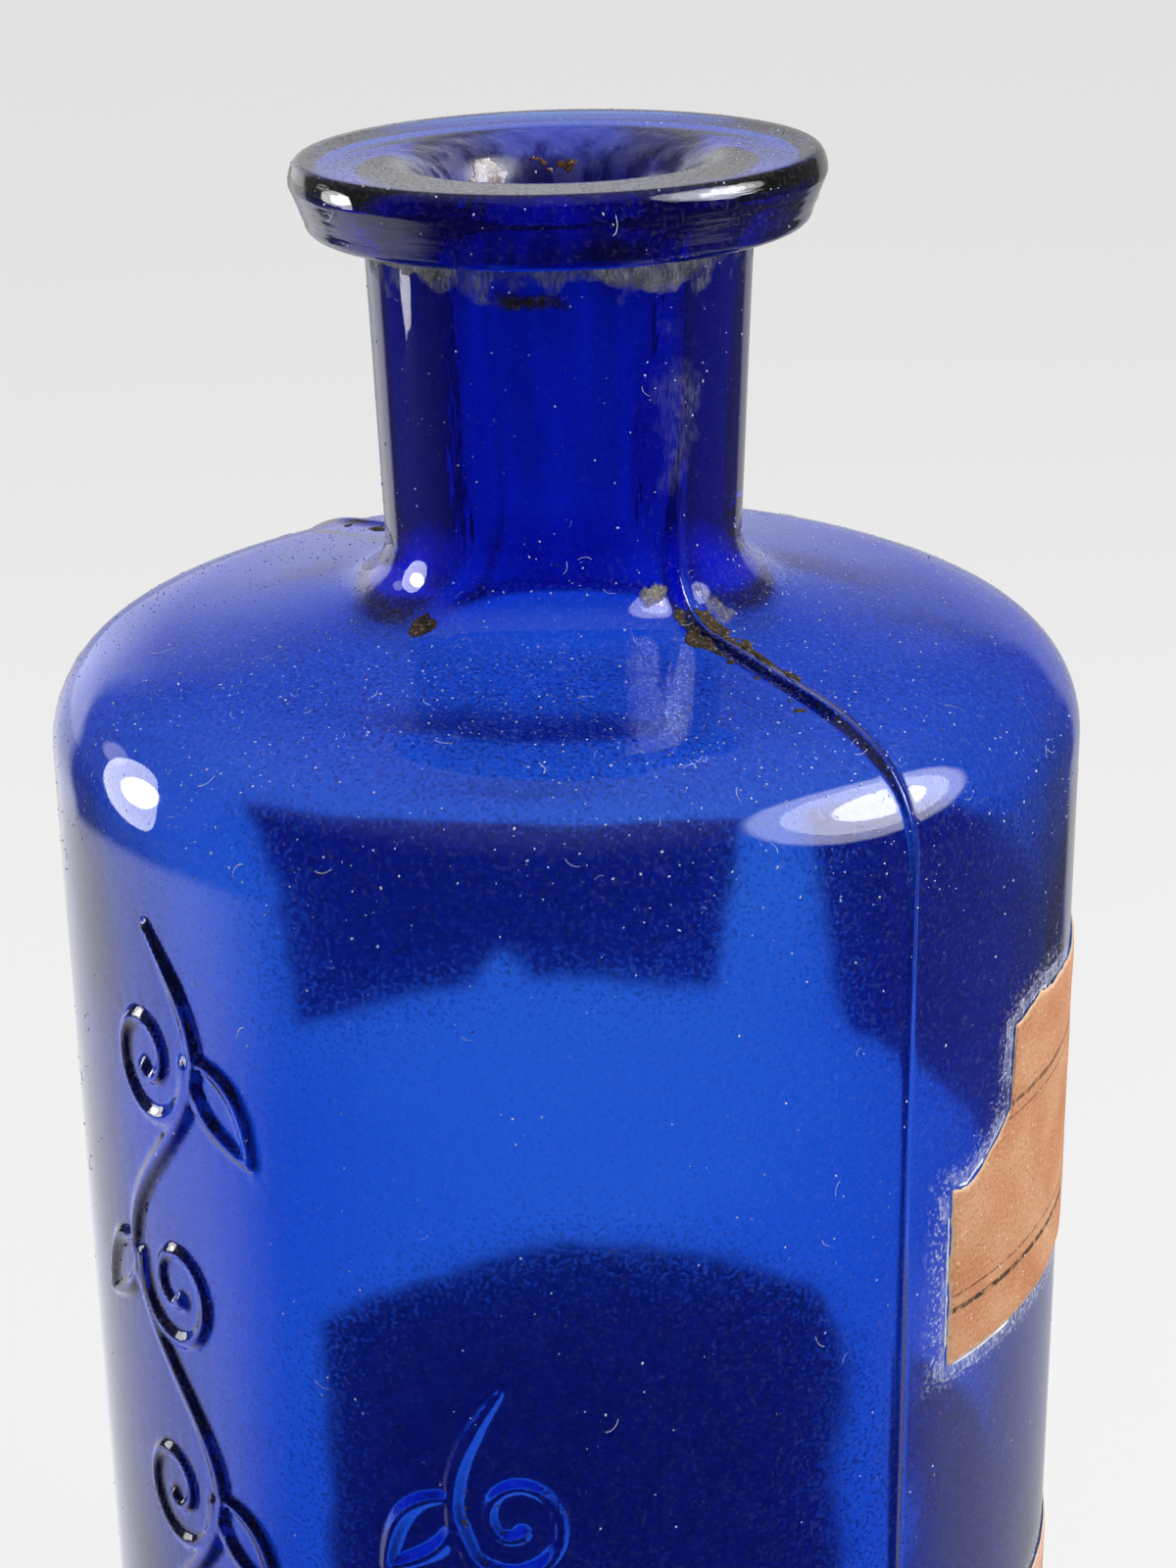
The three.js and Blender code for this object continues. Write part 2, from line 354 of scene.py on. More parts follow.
# The whole section, from the base's centre up the outside, over the lip and down the inside
def glassSection():
    g = glass
    dome = (g["standingRing"] ** 2 + g["pushUp"] ** 2) / (2 * g["pushUp"])
    domeEnd = math.degrees(math.acos(g["standingRing"] / dome))
    base = arcFrom([(0.0, g["pushUp"])], dome, 90, domeEnd, 9)
    base = lineTo(base, (bodyRadius - g["heelRadius"], 0), 3)
    base = arcFrom(base, g["heelRadius"], -90, 0, 8)
    neckFoot = lipBottom - g["neckLength"]
    outer = shoulderPoints(bodyRadius, g["neckBase"], neckFoot, g["outerShoulder"])
    wall = lineTo(base[-1:], outer[0], round((outer[0][1] - g["heelRadius"]) / g["wallStep"]))
    neck = lineTo(outer[-1:], (g["neckTop"], lipBottom), 18)
    lip = lineTo(neck[-1:], (g["lipUnderside"] - g["lipCorner"], lipBottom), 4)
    lip = arcFrom(lip, g["lipCorner"], -90, 0, 5)
    lip = lineTo(lip, (lipRadius, lipTop - g["lipCrown"][1]), 14)
    lip = arcFrom(lip, g["lipCrown"], 0, 90, 8)
    lip = lineTo(lip, (g["throat"] + g["mouthRoll"][0], lipTop - g["lipDish"]), 8)
    lip = arcFrom(lip, g["mouthRoll"], 90, 180, 10)
    inner = shoulderPoints(bodyRadius - g["shoulderWall"], g["throatBase"], neckFoot, g["innerShoulder"])
    inner = inner[::-1]
    innerWall = bodyRadius - g["wall"]
    floorZ = g["pushUp"] + g["floor"]
    cornerTop = floorZ + g["floorCorner"]
    full = inner[-1][1] - g["thinReach"]
    down = lineTo(inner[-1:], (innerWall, full), 6)
    down = lineTo(down, (innerWall, cornerTop), round((full - cornerTop) / g["innerStep"]))
    stretches = {
        "base": base,
        "wall": wall,
        "shoulder": outer,
        "neck": neck,
        "lip": lip,
        "throat": lineTo(lip[-1:], inner[0], 14),
        "innerShoulder": inner,
        "innerWall": down,
        "floor": lineTo(arcFrom(down[-1:], g["floorCorner"], 0, -90, 6), (0, floorZ), 8),
    }
    points, zones = [], {}
    for name, stretch in stretches.items():
        first = max(0, len(points) - 1)
        for p in stretch:
            if not points or math.dist(p, points[-1]) > 1e-6:
                points.append(p)
        zones[name] = (first, len(points) - 1)
    return np.array(points), zones


section, zoneRows = glassSection()
sectionLength = runAlong(section)
zoneLength = {name: (sectionLength[a], sectionLength[b]) for name, (a, b) in zoneRows.items()}
slopeRZ = np.gradient(section, sectionLength, axis=0)
slopeRZ /= np.linalg.norm(slopeRZ, axis=1)[:, None]
glassFoot = zoneLength["wall"][0]
wallEnd, shoulderEnd = zoneLength["shoulder"]
neckEnd, lipEnd = zoneLength["lip"]
throatStart, throatEnd = zoneLength["throat"]


# Length along the section where a zone comes to a radius (0) or a height (1), both steady there
def lengthAt(zone, axis, value):
    first, last = zoneRows[zone]
    sign = 1 if axis else -1
    return np.interp(sign * value, sign * section[first:last + 1, axis], sectionLength[first:last + 1])


def seamRise(along, depth):
    rise = np.interp(
        along,
        [glassFoot - 4, glassFoot, wallEnd, wallEnd + 8, shoulderEnd - 6, shoulderEnd - 2, shoulderEnd + 3],
        [0, seam["wallRise"], seam["wallRise"], seam["shoulderRise"], seam["shoulderRise"],
         seam["neckRise"], seam["upperNeckRise"]])
    return rise * smoothstep(seam["fadeTo"], seam["fadeFrom"], depth) * (along < neckEnd)


def sectionAt(along):
    return [np.interp(along, sectionLength, section[:, k]) for k in (0, 1)]


# Points of the glass skin, in mm, for lengths along the section and angles in degrees
def skinPoints(along, angle, lift=0.0):
    radius, height = sectionAt(along)
    normalR, normalZ = (np.interp(along, sectionLength, n) for n in (slopeRZ[:, 1], -slopeRZ[:, 0]))
    depth = lipTop - height
    offset = np.zeros_like(radius) + lift
    rise = seamRise(along, depth)
    broader = smoothstep(*seam["broadens"], along - wallEnd)
    halfWidth = seam["halfWidth"] + (seam["shoulderHalfWidth"] - seam["halfWidth"]) * broader
    for seamAngle in seamAngles:
        away = np.radians((angle - seamAngle + 180) % 360 - 180) * radius
        offset += rise * np.clip(1 - (away / halfWidth) ** 2, 0, 1) ** 2
        step = 0.5 * seam["step"] * np.tanh(away / seam["stepWidth"])
        step *= np.exp(-np.abs(away) / seam["stepReach"])
        offset += step * np.clip(rise / seam["wallRise"], 0, 1) * (along > wallEnd)
    turn = np.radians(angle)
    plain = around(radius, turn, height)
    wave = grainAt(plain, glass["waveSize"], 2, 3.1)
    offset += np.where(along < neckEnd, -glass["outerWave"] * (1 + wave), 0)
    offset += np.where(along > lipEnd, glass["innerWave"] * wave, 0) * smoothstep(*glass["waveFade"], radius)
    inThroat = smoothstep(*glass["streakFrom"], along - throatStart)
    inThroat *= smoothstep(*glass["streakTo"], along - throatEnd)
    streaks = grainAt(plain * glass["streakDraw"], glass["streakSize"], 2, 6.3)
    offset += glass["throatStreak"] * inThroat * streaks
    radius = radius + offset * normalR
    height = height + offset * normalZ
    lean = math.tan(math.radians(glass["lipTilt"])) * smoothstep(*glass["tiltDepths"], depth)
    height = height + lean * radius * np.cos(turn - math.radians(glass["lipTiltTowards"]))
    return around(radius, turn, height)


# Embossed running scroll: two upright bands of a plain vine, in mm on the unrolled wall
scroll = {
    "bands": (
        {"angle": -86.0, "top": 49.0, "bottom": 157.0, "swing": 4.6, "wave": 36.0, "flip": 1},
        {"angle": -44.5, "top": 79.0, "bottom": 151.0, "swing": 3.6, "wave": 36.0, "flip": -1},
    ),
    "rise": 0.42,
    "foot": 1.5,  # a stroke's foot, in its half widths
    "stem": 0.62,  # half widths
    "curl": 0.5,
    "leaf": 0.42,
    "taper": (6.0, 0.35),  # the stem's ends: length, and share of its width
    "curlTurns": 1.35,
    "curlStart": -9.0,
    "curlRadius": 4.6,
    "curlTightens": 0.78,
    "curlTall": 1.15,
    "curlThins": 0.35,
    "curlEye": 0.25,  # it ends in a drop
    "curlPlace": (0.9, 1.6),
    "leafLength": 8.5,
    "leafWidth": 3.6,
    "leafTilt": 52.0,
    "spacing": 0.12,
    "cuts": 4,  # finer faces beside the strokes
    "fineMargin": 1.1,
}


# Strokes of one band: the waving stem, a curl in each bend and a leaf outside it
def scrollStrokes(band):
    top = lipTop - band["top"]
    length = band["bottom"] - band["top"]
    middle = math.radians(band["angle"]) * bodyRadius
    strokes = []

    def stroke(across, run, width):
        strokes.append((np.stack([across, top - run], -1), width))

    run = np.arange(0, length, scroll["spacing"])
    wave = np.sin(2 * math.pi / band["wave"] * run)
    endLength, endWidth = scroll["taper"]
    taper = np.minimum(1, np.minimum(run, length - run) / endLength + endWidth)
    stroke(middle + band["flip"] * band["swing"] * wave, run, scroll["stem"] * taper)
    turns, along = np.linspace(0, 1, 160), np.linspace(0, 1, 90)
    reach = scroll["curlRadius"] * (1 - scroll["curlTightens"] * turns)
    spin = math.radians(scroll["curlStart"]) + turns * scroll["curlTurns"] * 2 * math.pi
    curl = scroll["curl"] * (1 - scroll["curlThins"] * turns)
    curl += scroll["curlEye"] * smoothstep(0.93, 1.0, turns)
    inward, onward = scroll["curlPlace"]
    ahead = along * scroll["leafLength"]
    leaf = scroll["leaf"] * (0.75 + 0.5 * np.sin(np.pi * along))
    tilt = math.radians(scroll["leafTilt"])
    for bend in range(int(length / band["wave"] * 2)):
        side = band["flip"] * (1 if bend % 2 == 0 else -1)
        crest = (bend + 0.5) * band["wave"] / 2
        if crest + scroll["leafLength"] > length:
            continue
        curlX = middle - side * inward + side * reach * np.cos(spin)
        stroke(curlX, crest + onward + reach * np.sin(spin) * scroll["curlTall"], curl)
        for edge in (-0.5, 0.5):
            bulge = edge * scroll["leafWidth"] * np.sin(np.pi * along ** 0.8)
            leafX = side * (band["swing"] + ahead * math.cos(tilt) - bulge * math.sin(tilt))
            stroke(middle + leafX, crest + ahead * math.sin(tilt) + bulge * math.cos(tilt), leaf)
    return strokes


strokes = [s for band in scroll["bands"] for s in scrollStrokes(band)]
scrollLookup = flatLookup(np.concatenate([line for line, width in strokes]))
scrollWidths = np.concatenate([width for line, width in strokes])


# Distance from the nearest stroke's middle and that stroke's half width, on the unrolled wall
def scrollDistance(angle, height):
    across = np.radians(angle) * bodyRadius
    found = [scrollLookup.find((x, z, 0)) for x, z in zip(across, height)]
    return np.array([f[2] for f in found]), np.array([scrollWidths[f[1]] for f in found])


def scrollLift(angle, height):
    distance, width = scrollDistance(angle, height)
    return scroll["rise"] * np.clip(1 - (distance / (scroll["foot"] * width)) ** 2, 0, 1) ** 1.5


# How the glass was made and has aged; pattern sizes in mm
finish = {
    "refraction": 1.52,
    "passes": (0.1, 0.53, 0.958, 1),  # shares of red, green and blue light
    "density": 800.0,
    "ripple": 6.0,
    "smear": 1.4,
    "grain": 0.32,
    "rings": (5.0, 0.4),  # tooling marks round the lip, across and up
    "runs": (1.7, 15.0),  # residue that ran down the throat
    "outerRoughness": (0.025, 0.07),
    "innerRoughness": (0.1, 0.31),
    "filmRoughness": 0.16,  # more where a film of old contents lines the throat
    "filmColour": "303061",
    "filmSoaks": 2.6,  # how fully that film takes up light inside the wall
    "filmOpaque": 0.92,
    "filmRuns": 0.32,
    "filmFromStart": (-6.5, -3, 2, 8),  # the film's profile, from the throat's two ends
    "filmFromEnd": (-2, 4),
    "filmLevels": (0, 1.1, 1.1, 0.6, 0.6, 0),
    "filmShares": (0.75, 0.45),  # at the front, and more behind
    "filmBehind": (0.3, -0.4),
    "lipTopDull": 1.0,
    "lipTopBand": (1.2, 1.5),  # how far down it reaches, and in from the rim until it is full
    "dusty": (0.2, 5.0),
}


# Soda-lime glass, cobalt blue, mould-blown and fire-polished: deep even colour by thickness,
# a sharp gloss outside, a dull unwashed inside, and fine dust that lightens the shoulder
def cobaltGlass():
    material, tree = newMaterial("sodaLimeGlassCobaltBlown")
    place = objectPlace(tree)
    inside, dusted, lining, tooled = (attribute(tree, n) for n in ("inside", "haze", "film", "tooled"))
    ripple, grain = (noiseAt(tree, place, 1 / (finish[n] * mm), 2.0) for n in ("ripple", "grain"))
    smear = noiseAt(tree, place, 1 / (finish["smear"] * mm), 5.0)
    rings = drawnNoise(tree, place, finish["rings"], 2.0)
    runs = drawnNoise(tree, place, finish["runs"], 3.0)
    # The residue meets the glass, so light that the throat's wall would mirror back is taken up
    uneven = bumped(tree, runs, 1.0, finish["filmRuns"])
    mirror = shader(tree, "Fresnel", {"IOR": finish["refraction"], "Normal": uneven})
    soak = calc(tree, "MULTIPLY", calc(tree, "MULTIPLY", lining, finish["filmSoaks"]), mirror, clamp=True)
    lined = calc(tree, "MULTIPLY", ramp(tree, runs, 0.35, 0.65, 0.5, 1.0), lining, clamp=True)
    unwashed = ramp(tree, grain, 0.44, 0.7, *finish["innerRoughness"])
    unwashed = mixed(tree, lining, unwashed, finish["innerRoughness"][0])
    rough = mixed(tree, inside, fit(tree, smear, 0.45, 0.75, *finish["outerRoughness"]), unwashed)
    specks = fit(tree, grain, 0.53, 0.72, *finish["dusty"])
    surface = addNode(tree, "ShaderNodeBsdfPrincipled", None, {
        "Base Color": tinted(tree, calc(tree, "MAXIMUM", lined, soak), "ffffff", finish["filmColour"]),
        "Roughness": calc(tree, "MULTIPLY_ADD", lining, finish["filmRoughness"], rough),
        "IOR": finish["refraction"],
        "Transmission Weight": calc(tree, "MULTIPLY_ADD", soak, -finish["filmOpaque"], 1.0),
        "Normal": bumped(tree, rings, tooled, 0.05, Normal=bumped(tree, ripple, 0.12, 0.2)),
        "Sheen Weight": calc(tree, "MULTIPLY", specks, dusted),
        "Sheen Roughness": 0.9,
        "Sheen Tint": srgb("f4f6fb")})
    surface.inputs["Transmission Weight"].default_value = 1.0
    tint = shader(tree, "VolumeAbsorption", {"Color": finish["passes"], "Density": finish["density"]})
    addNode(tree, "ShaderNodeOutputMaterial", None, {"Surface": surface.outputs["BSDF"], "Volume": tint})
    return material


def columnAngles():
    beside = glass["seamColumns"]
    angles = [glass["firstColumn"] + 360 * k / glass["columns"] for k in range(glass["columns"])]
    for seamAngle in seamAngles:
        angles = [a for a in angles if abs(a - seamAngle) > beside[-1] + 0.1]
        angles += [seamAngle + side * d for side in (-1, 1) for d in beside] + [seamAngle]
    return np.array(sorted(angles))


# Shares of the surface's sorts, at lengths along the section and angles
def glassShares(length, angle):
    radius, height = sectionAt(length)
    onLip = (length > neckEnd) & (length < lipEnd)
    topDown, rimIn = finish["lipTopBand"]
    onTop = onLip & (height > lipTop - topDown)
    places = [throatStart + s for s in finish["filmFromStart"]]
    places += [throatEnd + s for s in finish["filmFromEnd"]]
    film = np.interp(length, places, finish["filmLevels"])
    front, more = finish["filmShares"]
    film *= front + more * smoothstep(*finish["filmBehind"], np.cos(np.radians(angle - view["azimuth"])))
    dull = finish["lipTopDull"] * onTop * smoothstep(lipRadius, lipRadius - rimIn, radius)
    return {
        "inside": np.where(length > throatStart, 1.0, dull),
        "film": film,
        "tooled": onLip * smoothstep(*glass["lipSide"], radius),
    }


def buildGlass(material):
    angles = columnAngles()
    rings = len(section) - 2
    count = len(angles)
    along = np.repeat(sectionLength[1:-1], count)
    angle = np.tile(angles, rings)
    points = skinPoints(along, angle)
    faces = ringFaces(rings, count)
    lowPole, highPole = len(points), len(points) + 1
    last = (rings - 1) * count
    for k in range(count):
        faces.append((lowPole, (k + 1) % count, k))
        faces.append((highPole, last + k, last + (k + 1) % count))
    poles = [(0, 0, section[0][1]), (0, 0, section[-1][1])]
    mesh = bmesh.new()
    shares = glassShares(np.append(along, [0, sectionLength[-1]]), np.append(angle, [0, 0]))
    layers = {name: mesh.verts.layers.float.new(name) for name in shares}
    verts = [mesh.verts.new(p) for p in list(points) + poles]
    for name, share in shares.items():
        for vert, value in zip(verts, share):
            vert[layers[name]] = value
    quads = [mesh.faces.new([verts[k] for k in f]) for f in faces]
    refineScroll(mesh, quads, count)
    for vert in mesh.verts:
        vert.co *= mm
    piece = newObject("cobalt_glass", [], [], material)
    mesh.to_mesh(piece.data)
    mesh.free()
    piece.data.polygons.foreach_set("use_smooth", [True] * len(piece.data.polygons))
    addHaze(piece.data)
    print("glass: %d faces" % len(piece.data.polygons))
    return piece


# Dust film over the outside: most on the shoulder, and in a halo of old paste round the labels
def addHaze(mesh):
    points = np.array([v.co for v in mesh.vertices]) / mm
    inside = np.array([d.value for d in mesh.attributes["inside"].data])
    radius = np.hypot(points[:, 0], points[:, 1])
    height = points[:, 2]
    wallTop, neckFoot = section[zoneRows["shoulder"][0]][1], section[zoneRows["neck"][0]][1]
    level = np.interp(
        height, [0, wallTop - 2, wallTop + 5, neckFoot - 2, neckFoot + 2, lipBottom, lipBottom + 1],
        [0.5 * haze["wall"], haze["wall"], haze["shoulder"], haze["shoulder"], haze["neck"],
         haze["neck"], haze["lip"]])
    onTop = smoothstep(*haze["lipTopDepths"], lipTop - height) * (radius < lipRadius - haze["lipRim"])
    level += haze["lipTop"] * onTop
    ring, reach = haze["neckFootRing"]
    middle, half = haze["neckFootHeights"]
    foot = np.exp(-((radius - ring) / reach) ** 2) * (np.abs(height - neckFoot - middle) < half)
    turn = np.arctan2(points[:, 1], points[:, 0]) - math.radians(view["azimuth"])
    level += haze["neckFoot"] * foot * smoothstep(*haze["neckFootBehind"], np.cos(turn))
    onWall = np.nonzero((inside < 0.5) & (height < wallTop) & (radius > bodyRadius - 1))[0]
    places = unrolled(points[onWall])
    for piece in labelPieces:
        halo = haze["labelHalo"] * (1 - smoothstep(*haze["haloReach"], labelDistance(piece, places)))
        level[onWall] = np.maximum(level[onWall], halo)
    addShare(mesh, "haze", level * (1 - inside))


# Splits the wall's faces near the scroll, then raises the strokes
def refineScroll(mesh, quads, count):
    first, last = zoneRows["wall"]
    wallFaces = quads[(first - 1) * count:(last - 1) * count]
    centres = np.array([f.calc_center_median() for f in wallFaces])
    angle = np.degrees(np.arctan2(centres[:, 1], centres[:, 0]))
    distance, width = scrollDistance(angle, centres[:, 2])
    reach = scroll["foot"] * width + scroll["fineMargin"]
    near = [f for f, inReach in zip(wallFaces, distance < reach) if inReach]
    edges = list({e for f in near for e in f.edges})
    bmesh.ops.subdivide_edges(mesh, edges=edges, cuts=scroll["cuts"], use_grid_fill=True)
    low, high = section[first][1], section[last][1]
    wall = [v for v in mesh.verts if low < v.co.z < high and math.hypot(v.co.x, v.co.y) > bodyRadius - 0.5]
    place = np.array([v.co for v in wall])
    lift = scrollLift(np.degrees(np.arctan2(place[:, 1], place[:, 0])), place[:, 2])
    for k in np.nonzero(lift > 0)[0]:
        vert = wall[k]
        scale = (bodyRadius + lift[k]) / math.hypot(vert.co.x, vert.co.y)
        vert.co.x *= scale
        vert.co.y *= scale


# Places on the unrolled wall: mm from the +X seam towards +Y, and depth below the lip's top
def unrolled(points):
    across = np.arctan2(points[:, 1], points[:, 0]) * bodyRadius
    across = np.where(across < -0.3 * bodyRadius * math.pi, across + 2 * math.pi * bodyRadius, across)
    return np.stack([across, lipTop - points[:, 2]], -1)


def wallPoints(across, depth, lift):
    return around(bodyRadius + lift, np.asarray(across) / bodyRadius, lipTop - np.asarray(depth))


outlineStep = 0.1


# How far places on the unrolled wall lie outside a label's outline
def labelDistance(piece, places):
    top, bottom = np.array(piece["top"], float), np.array(piece["bottom"], float)
    corners = np.concatenate([top, bottom[::-1], top[:1]])
    away = nearest(flatLookup(walk(corners, outlineStep)), places)
    high = np.interp(places[:, 0], top[:, 0], top[:, 1])
    low = np.interp(places[:, 0], bottom[:, 0], bottom[:, 1])
    within = (places[:, 0] > top[0][0]) & (places[:, 0] < top[-1][0])
    within &= (places[:, 1] > high) & (places[:, 1] < low)
    return np.where(within, 0.0, away)


# Paper that is torn: thin furred edges, old stains, worn printed rules
paper = {
    "thickness": 0.2,
    "pasteGap": 0.06,
    "edgeThickness": 0.4,  # share left at a torn edge
    "edgeReach": 0.7,
    "wrinkle": 0.05,
    "wrinkleSize": 5.0,
    "tear": 0.22,  # how ragged torn edges are
    "cut": 0.05,  # and cut edges
    "fray": (1.6, 0.5),  # sizes of its two layers
    "sideFray": 1.1,
    "pullReach": 1.2,
    "overSeam": 2.4,  # half width of the lift over a seam, in the seam's half widths
    "step": 0.5,
    "rows": 44,
    "ink": "33271f",
    "rubbed": "f0d9c4",
    "furred": "e9c9a8",
}


# Noise along a line, in mm
def ragged(places, size, shift):
    return grainAt([(p, shift, 0.0) for p in places], size, 3, shift)


def buildLabel(piece, material):
    top, bottom = np.array(piece["top"]), np.array(piece["bottom"])
    start, end = top[0][0], top[-1][0]
    columns = np.concatenate([np.arange(start, end, paper["step"]), top[:, 0], bottom[:, 0]])
    columns = np.unique(np.round(columns, 3))
    columns = columns[np.concatenate([[True], np.diff(columns) > 0.05])]
    shift = 3.7 * len(piece["node"]) + start

    def edgeDepth(edge, roughness, more):
        coarse, fine = paper["fray"]
        fray = ragged(columns, coarse, shift + more) + 0.5 * ragged(columns, fine, shift + more + 5)
        return np.interp(columns, edge[:, 0], edge[:, 1]) + paper[roughness] * fray

    high, low = edgeDepth(top, piece["topEdge"], 0), edgeDepth(bottom, piece["bottomEdge"], 9)
    rows = np.linspace(0, 1, paper["rows"])
    depth = low[None, :] + (high - low)[None, :] * rows[:, None]
    across = np.repeat(columns[None, :], paper["rows"], 0)
    pull = np.zeros_like(across)
    for inward, more in ((across - start, 20), (end - across, 26)):
        fray = ragged(depth.ravel(), paper["sideFray"], shift + more).reshape(depth.shape)
        pull += np.exp(-inward / paper["pullReach"]) * paper["tear"] * fray
    across = across + pull
    grid = np.stack([across, depth], -1)
    rim = np.concatenate([grid[0], grid[-1], grid[:, 0], grid[:, -1]])
    flat = grid.reshape(-1, 2)
    edge = nearest(flatLookup(rim), flat)
    creases = grainAt([(p[0], p[1], shift) for p in flat], paper["wrinkleSize"], 3)
    fromSeam = (flat[:, 0] - math.pi * bodyRadius) / (paper["overSeam"] * seam["halfWidth"])
    base = paper["pasteGap"] + paper["wrinkle"] * np.clip(creases + 0.1, 0, 1)
    base = base + seam["wallRise"] * np.clip(1 - fromSeam ** 2, 0, 1)
    thin = paper["edgeThickness"]
    thick = paper["thickness"] * (thin + (1 - thin) * smoothstep(0, paper["edgeReach"], edge))
    inner = wallPoints(flat[:, 0], flat[:, 1], base)
    outer = wallPoints(flat[:, 0], flat[:, 1], base + thick)
    keep = np.ones((len(rows) - 1, len(columns) - 1), bool)
    label = closedPatch(piece["node"] + "_paper", keep, outer, inner, material, {"edge": edge})
    spread = label.data.attributes.new("unrolled", "FLOAT_VECTOR", "POINT")
    double = np.concatenate([flat, flat])
    spread.data.foreach_set("vector", np.column_stack([double, np.zeros(len(double))]).ravel())
    addShare(label.data, "back", np.repeat([0.0, 1.0], len(flat)))
    return label


# Rag paper, machine-made and brush-pasted, long faded: warm and matt, with mottled fibres,
# pale rubbed specks, furred white torn edges and thin printed rules that have worn through
def agedPaper(name, base, light, dark, paste, rules):
    material, tree = newMaterial(name)
    place = attribute(tree, "unrolled", "Vector")
    edge, back = attribute(tree, "edge"), attribute(tree, "back")
    depth = shader(tree, "SeparateXYZ", {"Vector": place}, "Y")
    patterns = ((3.4, 5.0), (0.16, 4.0), (1.3, 3.0), (0.7, 6.0))  # cells per mm of wall, detail
    fibre, stain, wear, cloud = (noiseAt(tree, place, perMm, detail) for perMm, detail in patterns)
    dots = shader(tree, "TexVoronoi", {"Vector": place, "Scale": 2.0}, "Distance", feature="F1")
    colour = tinted(tree, fit(tree, stain, 0.35, 0.68), base, light)
    colour = tinted(tree, fit(tree, fibre, 0.5, 0.7, 0.0, 0.7), colour, dark)
    colour = tinted(tree, fit(tree, fibre, 0.3, 0.44, 0.6, 0.0), colour, light)
    for ruleDepth, halfWidth, strength in rules:
        off = calc(tree, "ABSOLUTE", calc(tree, "SUBTRACT", depth, ruleDepth))
        line = fit(tree, off, halfWidth, halfWidth + 0.05, 1.0, 0.0)
        worn = fit(tree, wear, 0.36, 0.52, 0.15, strength)
        colour = tinted(tree, calc(tree, "MULTIPLY", line, worn), colour, paper["ink"])
    rubbed = calc(tree, "MULTIPLY", fit(tree, dots, 0.12, 0.22, 0.9, 0.0), fit(tree, wear, 0.5, 0.6))
    colour = tinted(tree, rubbed, colour, paper["rubbed"])
    torn = fit(tree, edge, 0.0, calc(tree, "MULTIPLY", wear, 0.75), 0.9, 0.0)
    colour = tinted(tree, torn, colour, paper["furred"])
    pasted = tinted(tree, ramp(tree, cloud, 0.36, 0.64, 0.0, 1.0), *paste)
    colour = tinted(tree, back, colour, pasted)
    mattSurface(tree, colour, bumped(tree, fibre, 0.35, 0.08), roughness=0.82, shine=0.25)
    return material


# Outlines on the unrolled wall, mm: places from the +X seam, depths below the lip's top
labelPieces = (
    {"node": "upper_label_front", "slot": "upper_label_paper", "topEdge": "tear", "bottomEdge": "cut",
     "top": [(4.8, 69.5), (6.5, 69.8), (8.2, 69.0), (12.1, 65.9), (12.4, 59.3), (16.6, 58.4), (26.8, 59.6),
             (38, 58.6), (45, 56), (76.3, 56)],
     "bottom": [(4.8, 84), (69.2, 84), (72.5, 70), (76.3, 57)]},
    {"node": "upper_label_back", "slot": "upper_label_paper", "topEdge": "cut", "bottomEdge": "tear",
     "top": [(80.9, 56), (127, 56)],
     "bottom": [(80.9, 57), (81.6, 72), (82.7, 84), (102.2, 84), (105.2, 80.4), (108.2, 84), (127, 84)]},
    {"node": "lower_label_front", "slot": "lower_label_paper", "topEdge": "cut", "bottomEdge": "cut",
     "top": [(4.8, 112), (59, 112)],
     "bottom": [(4.8, 158), (59, 158)]},
    {"node": "lower_label_back", "slot": "lower_label_paper", "topEdge": "cut", "bottomEdge": "cut",
     "top": [(68, 118), (69.3, 114.6), (72, 112), (125.5, 112)],
     "bottom": [(68, 158), (125.5, 158)]},
)

# Dried paste: a raised line squeezed out along the front label's left edge and corner
pasteLines = (
    {"name": "paste_line", "half": 0.13, "rise": 0.1, "offset": 0.22, "breaks": 0.18,
     "route": [(8.6, 68.6), (6.5, 69.8), (4.8, 69.5), (4.8, 76), (4.8, 84), (8.0, 84), (13.5, 84)]},
    {"name": "paste_tear_line", "half": 0.07, "rise": 0.05, "offset": 0.15, "breaks": 0.5,
     "route": [(24, 59.4), (16.6, 58.4), (12.4, 59.3), (12.1, 65.9), (8.6, 68.6)]},
)
pasteShape = {
    "step": 0.12,
    "smooth": 9,  # steps over which the route's corners are rounded
    "profile": ((-1, 0), (-0.5, 1), (0.5, 1), (1, 0)),  # half widths, and raised or not
    "foot": 0.01,
    "wander": (0.5, 1.0),  # share of the half width, and size in mm
    "swell": (0.9, 0.8, 2.2),  # middle, change and size in mm
    "leastSteps": 5,
    "ends": (0.2, 0.4),  # share of the size at an end, and more at each step
}

# Thin films of paste on the bare glass round the front label: a cloudy band, then the line of an older edge
pasteFilms = (
    {"name": "paste_film_tear", "across": (2.4, 34.0), "depth": (55.6, 71.5), "band": 0.5, "line": 1.2,
     "edge": 0.8},
    {"name": "paste_film_side", "across": (2.4, 4.7), "depth": (71.5, 82.4), "band": 0.4, "line": 0.75,
     "edge": 0.5},
    {"name": "paste_film_under", "across": (2.4, 34.0), "depth": (82.4, 87.2), "band": 0.42, "line": 1.35,
     "edge": 0.6},
)
filmShape = {
    "step": 0.11,
    "lifts": (0.004, 0.018),
    "grain": 2.4,
    "wander": 0.25,
    "soft": 0.1,
    "lineWidth": 0.13,
    "leastCover": 0.05,
}


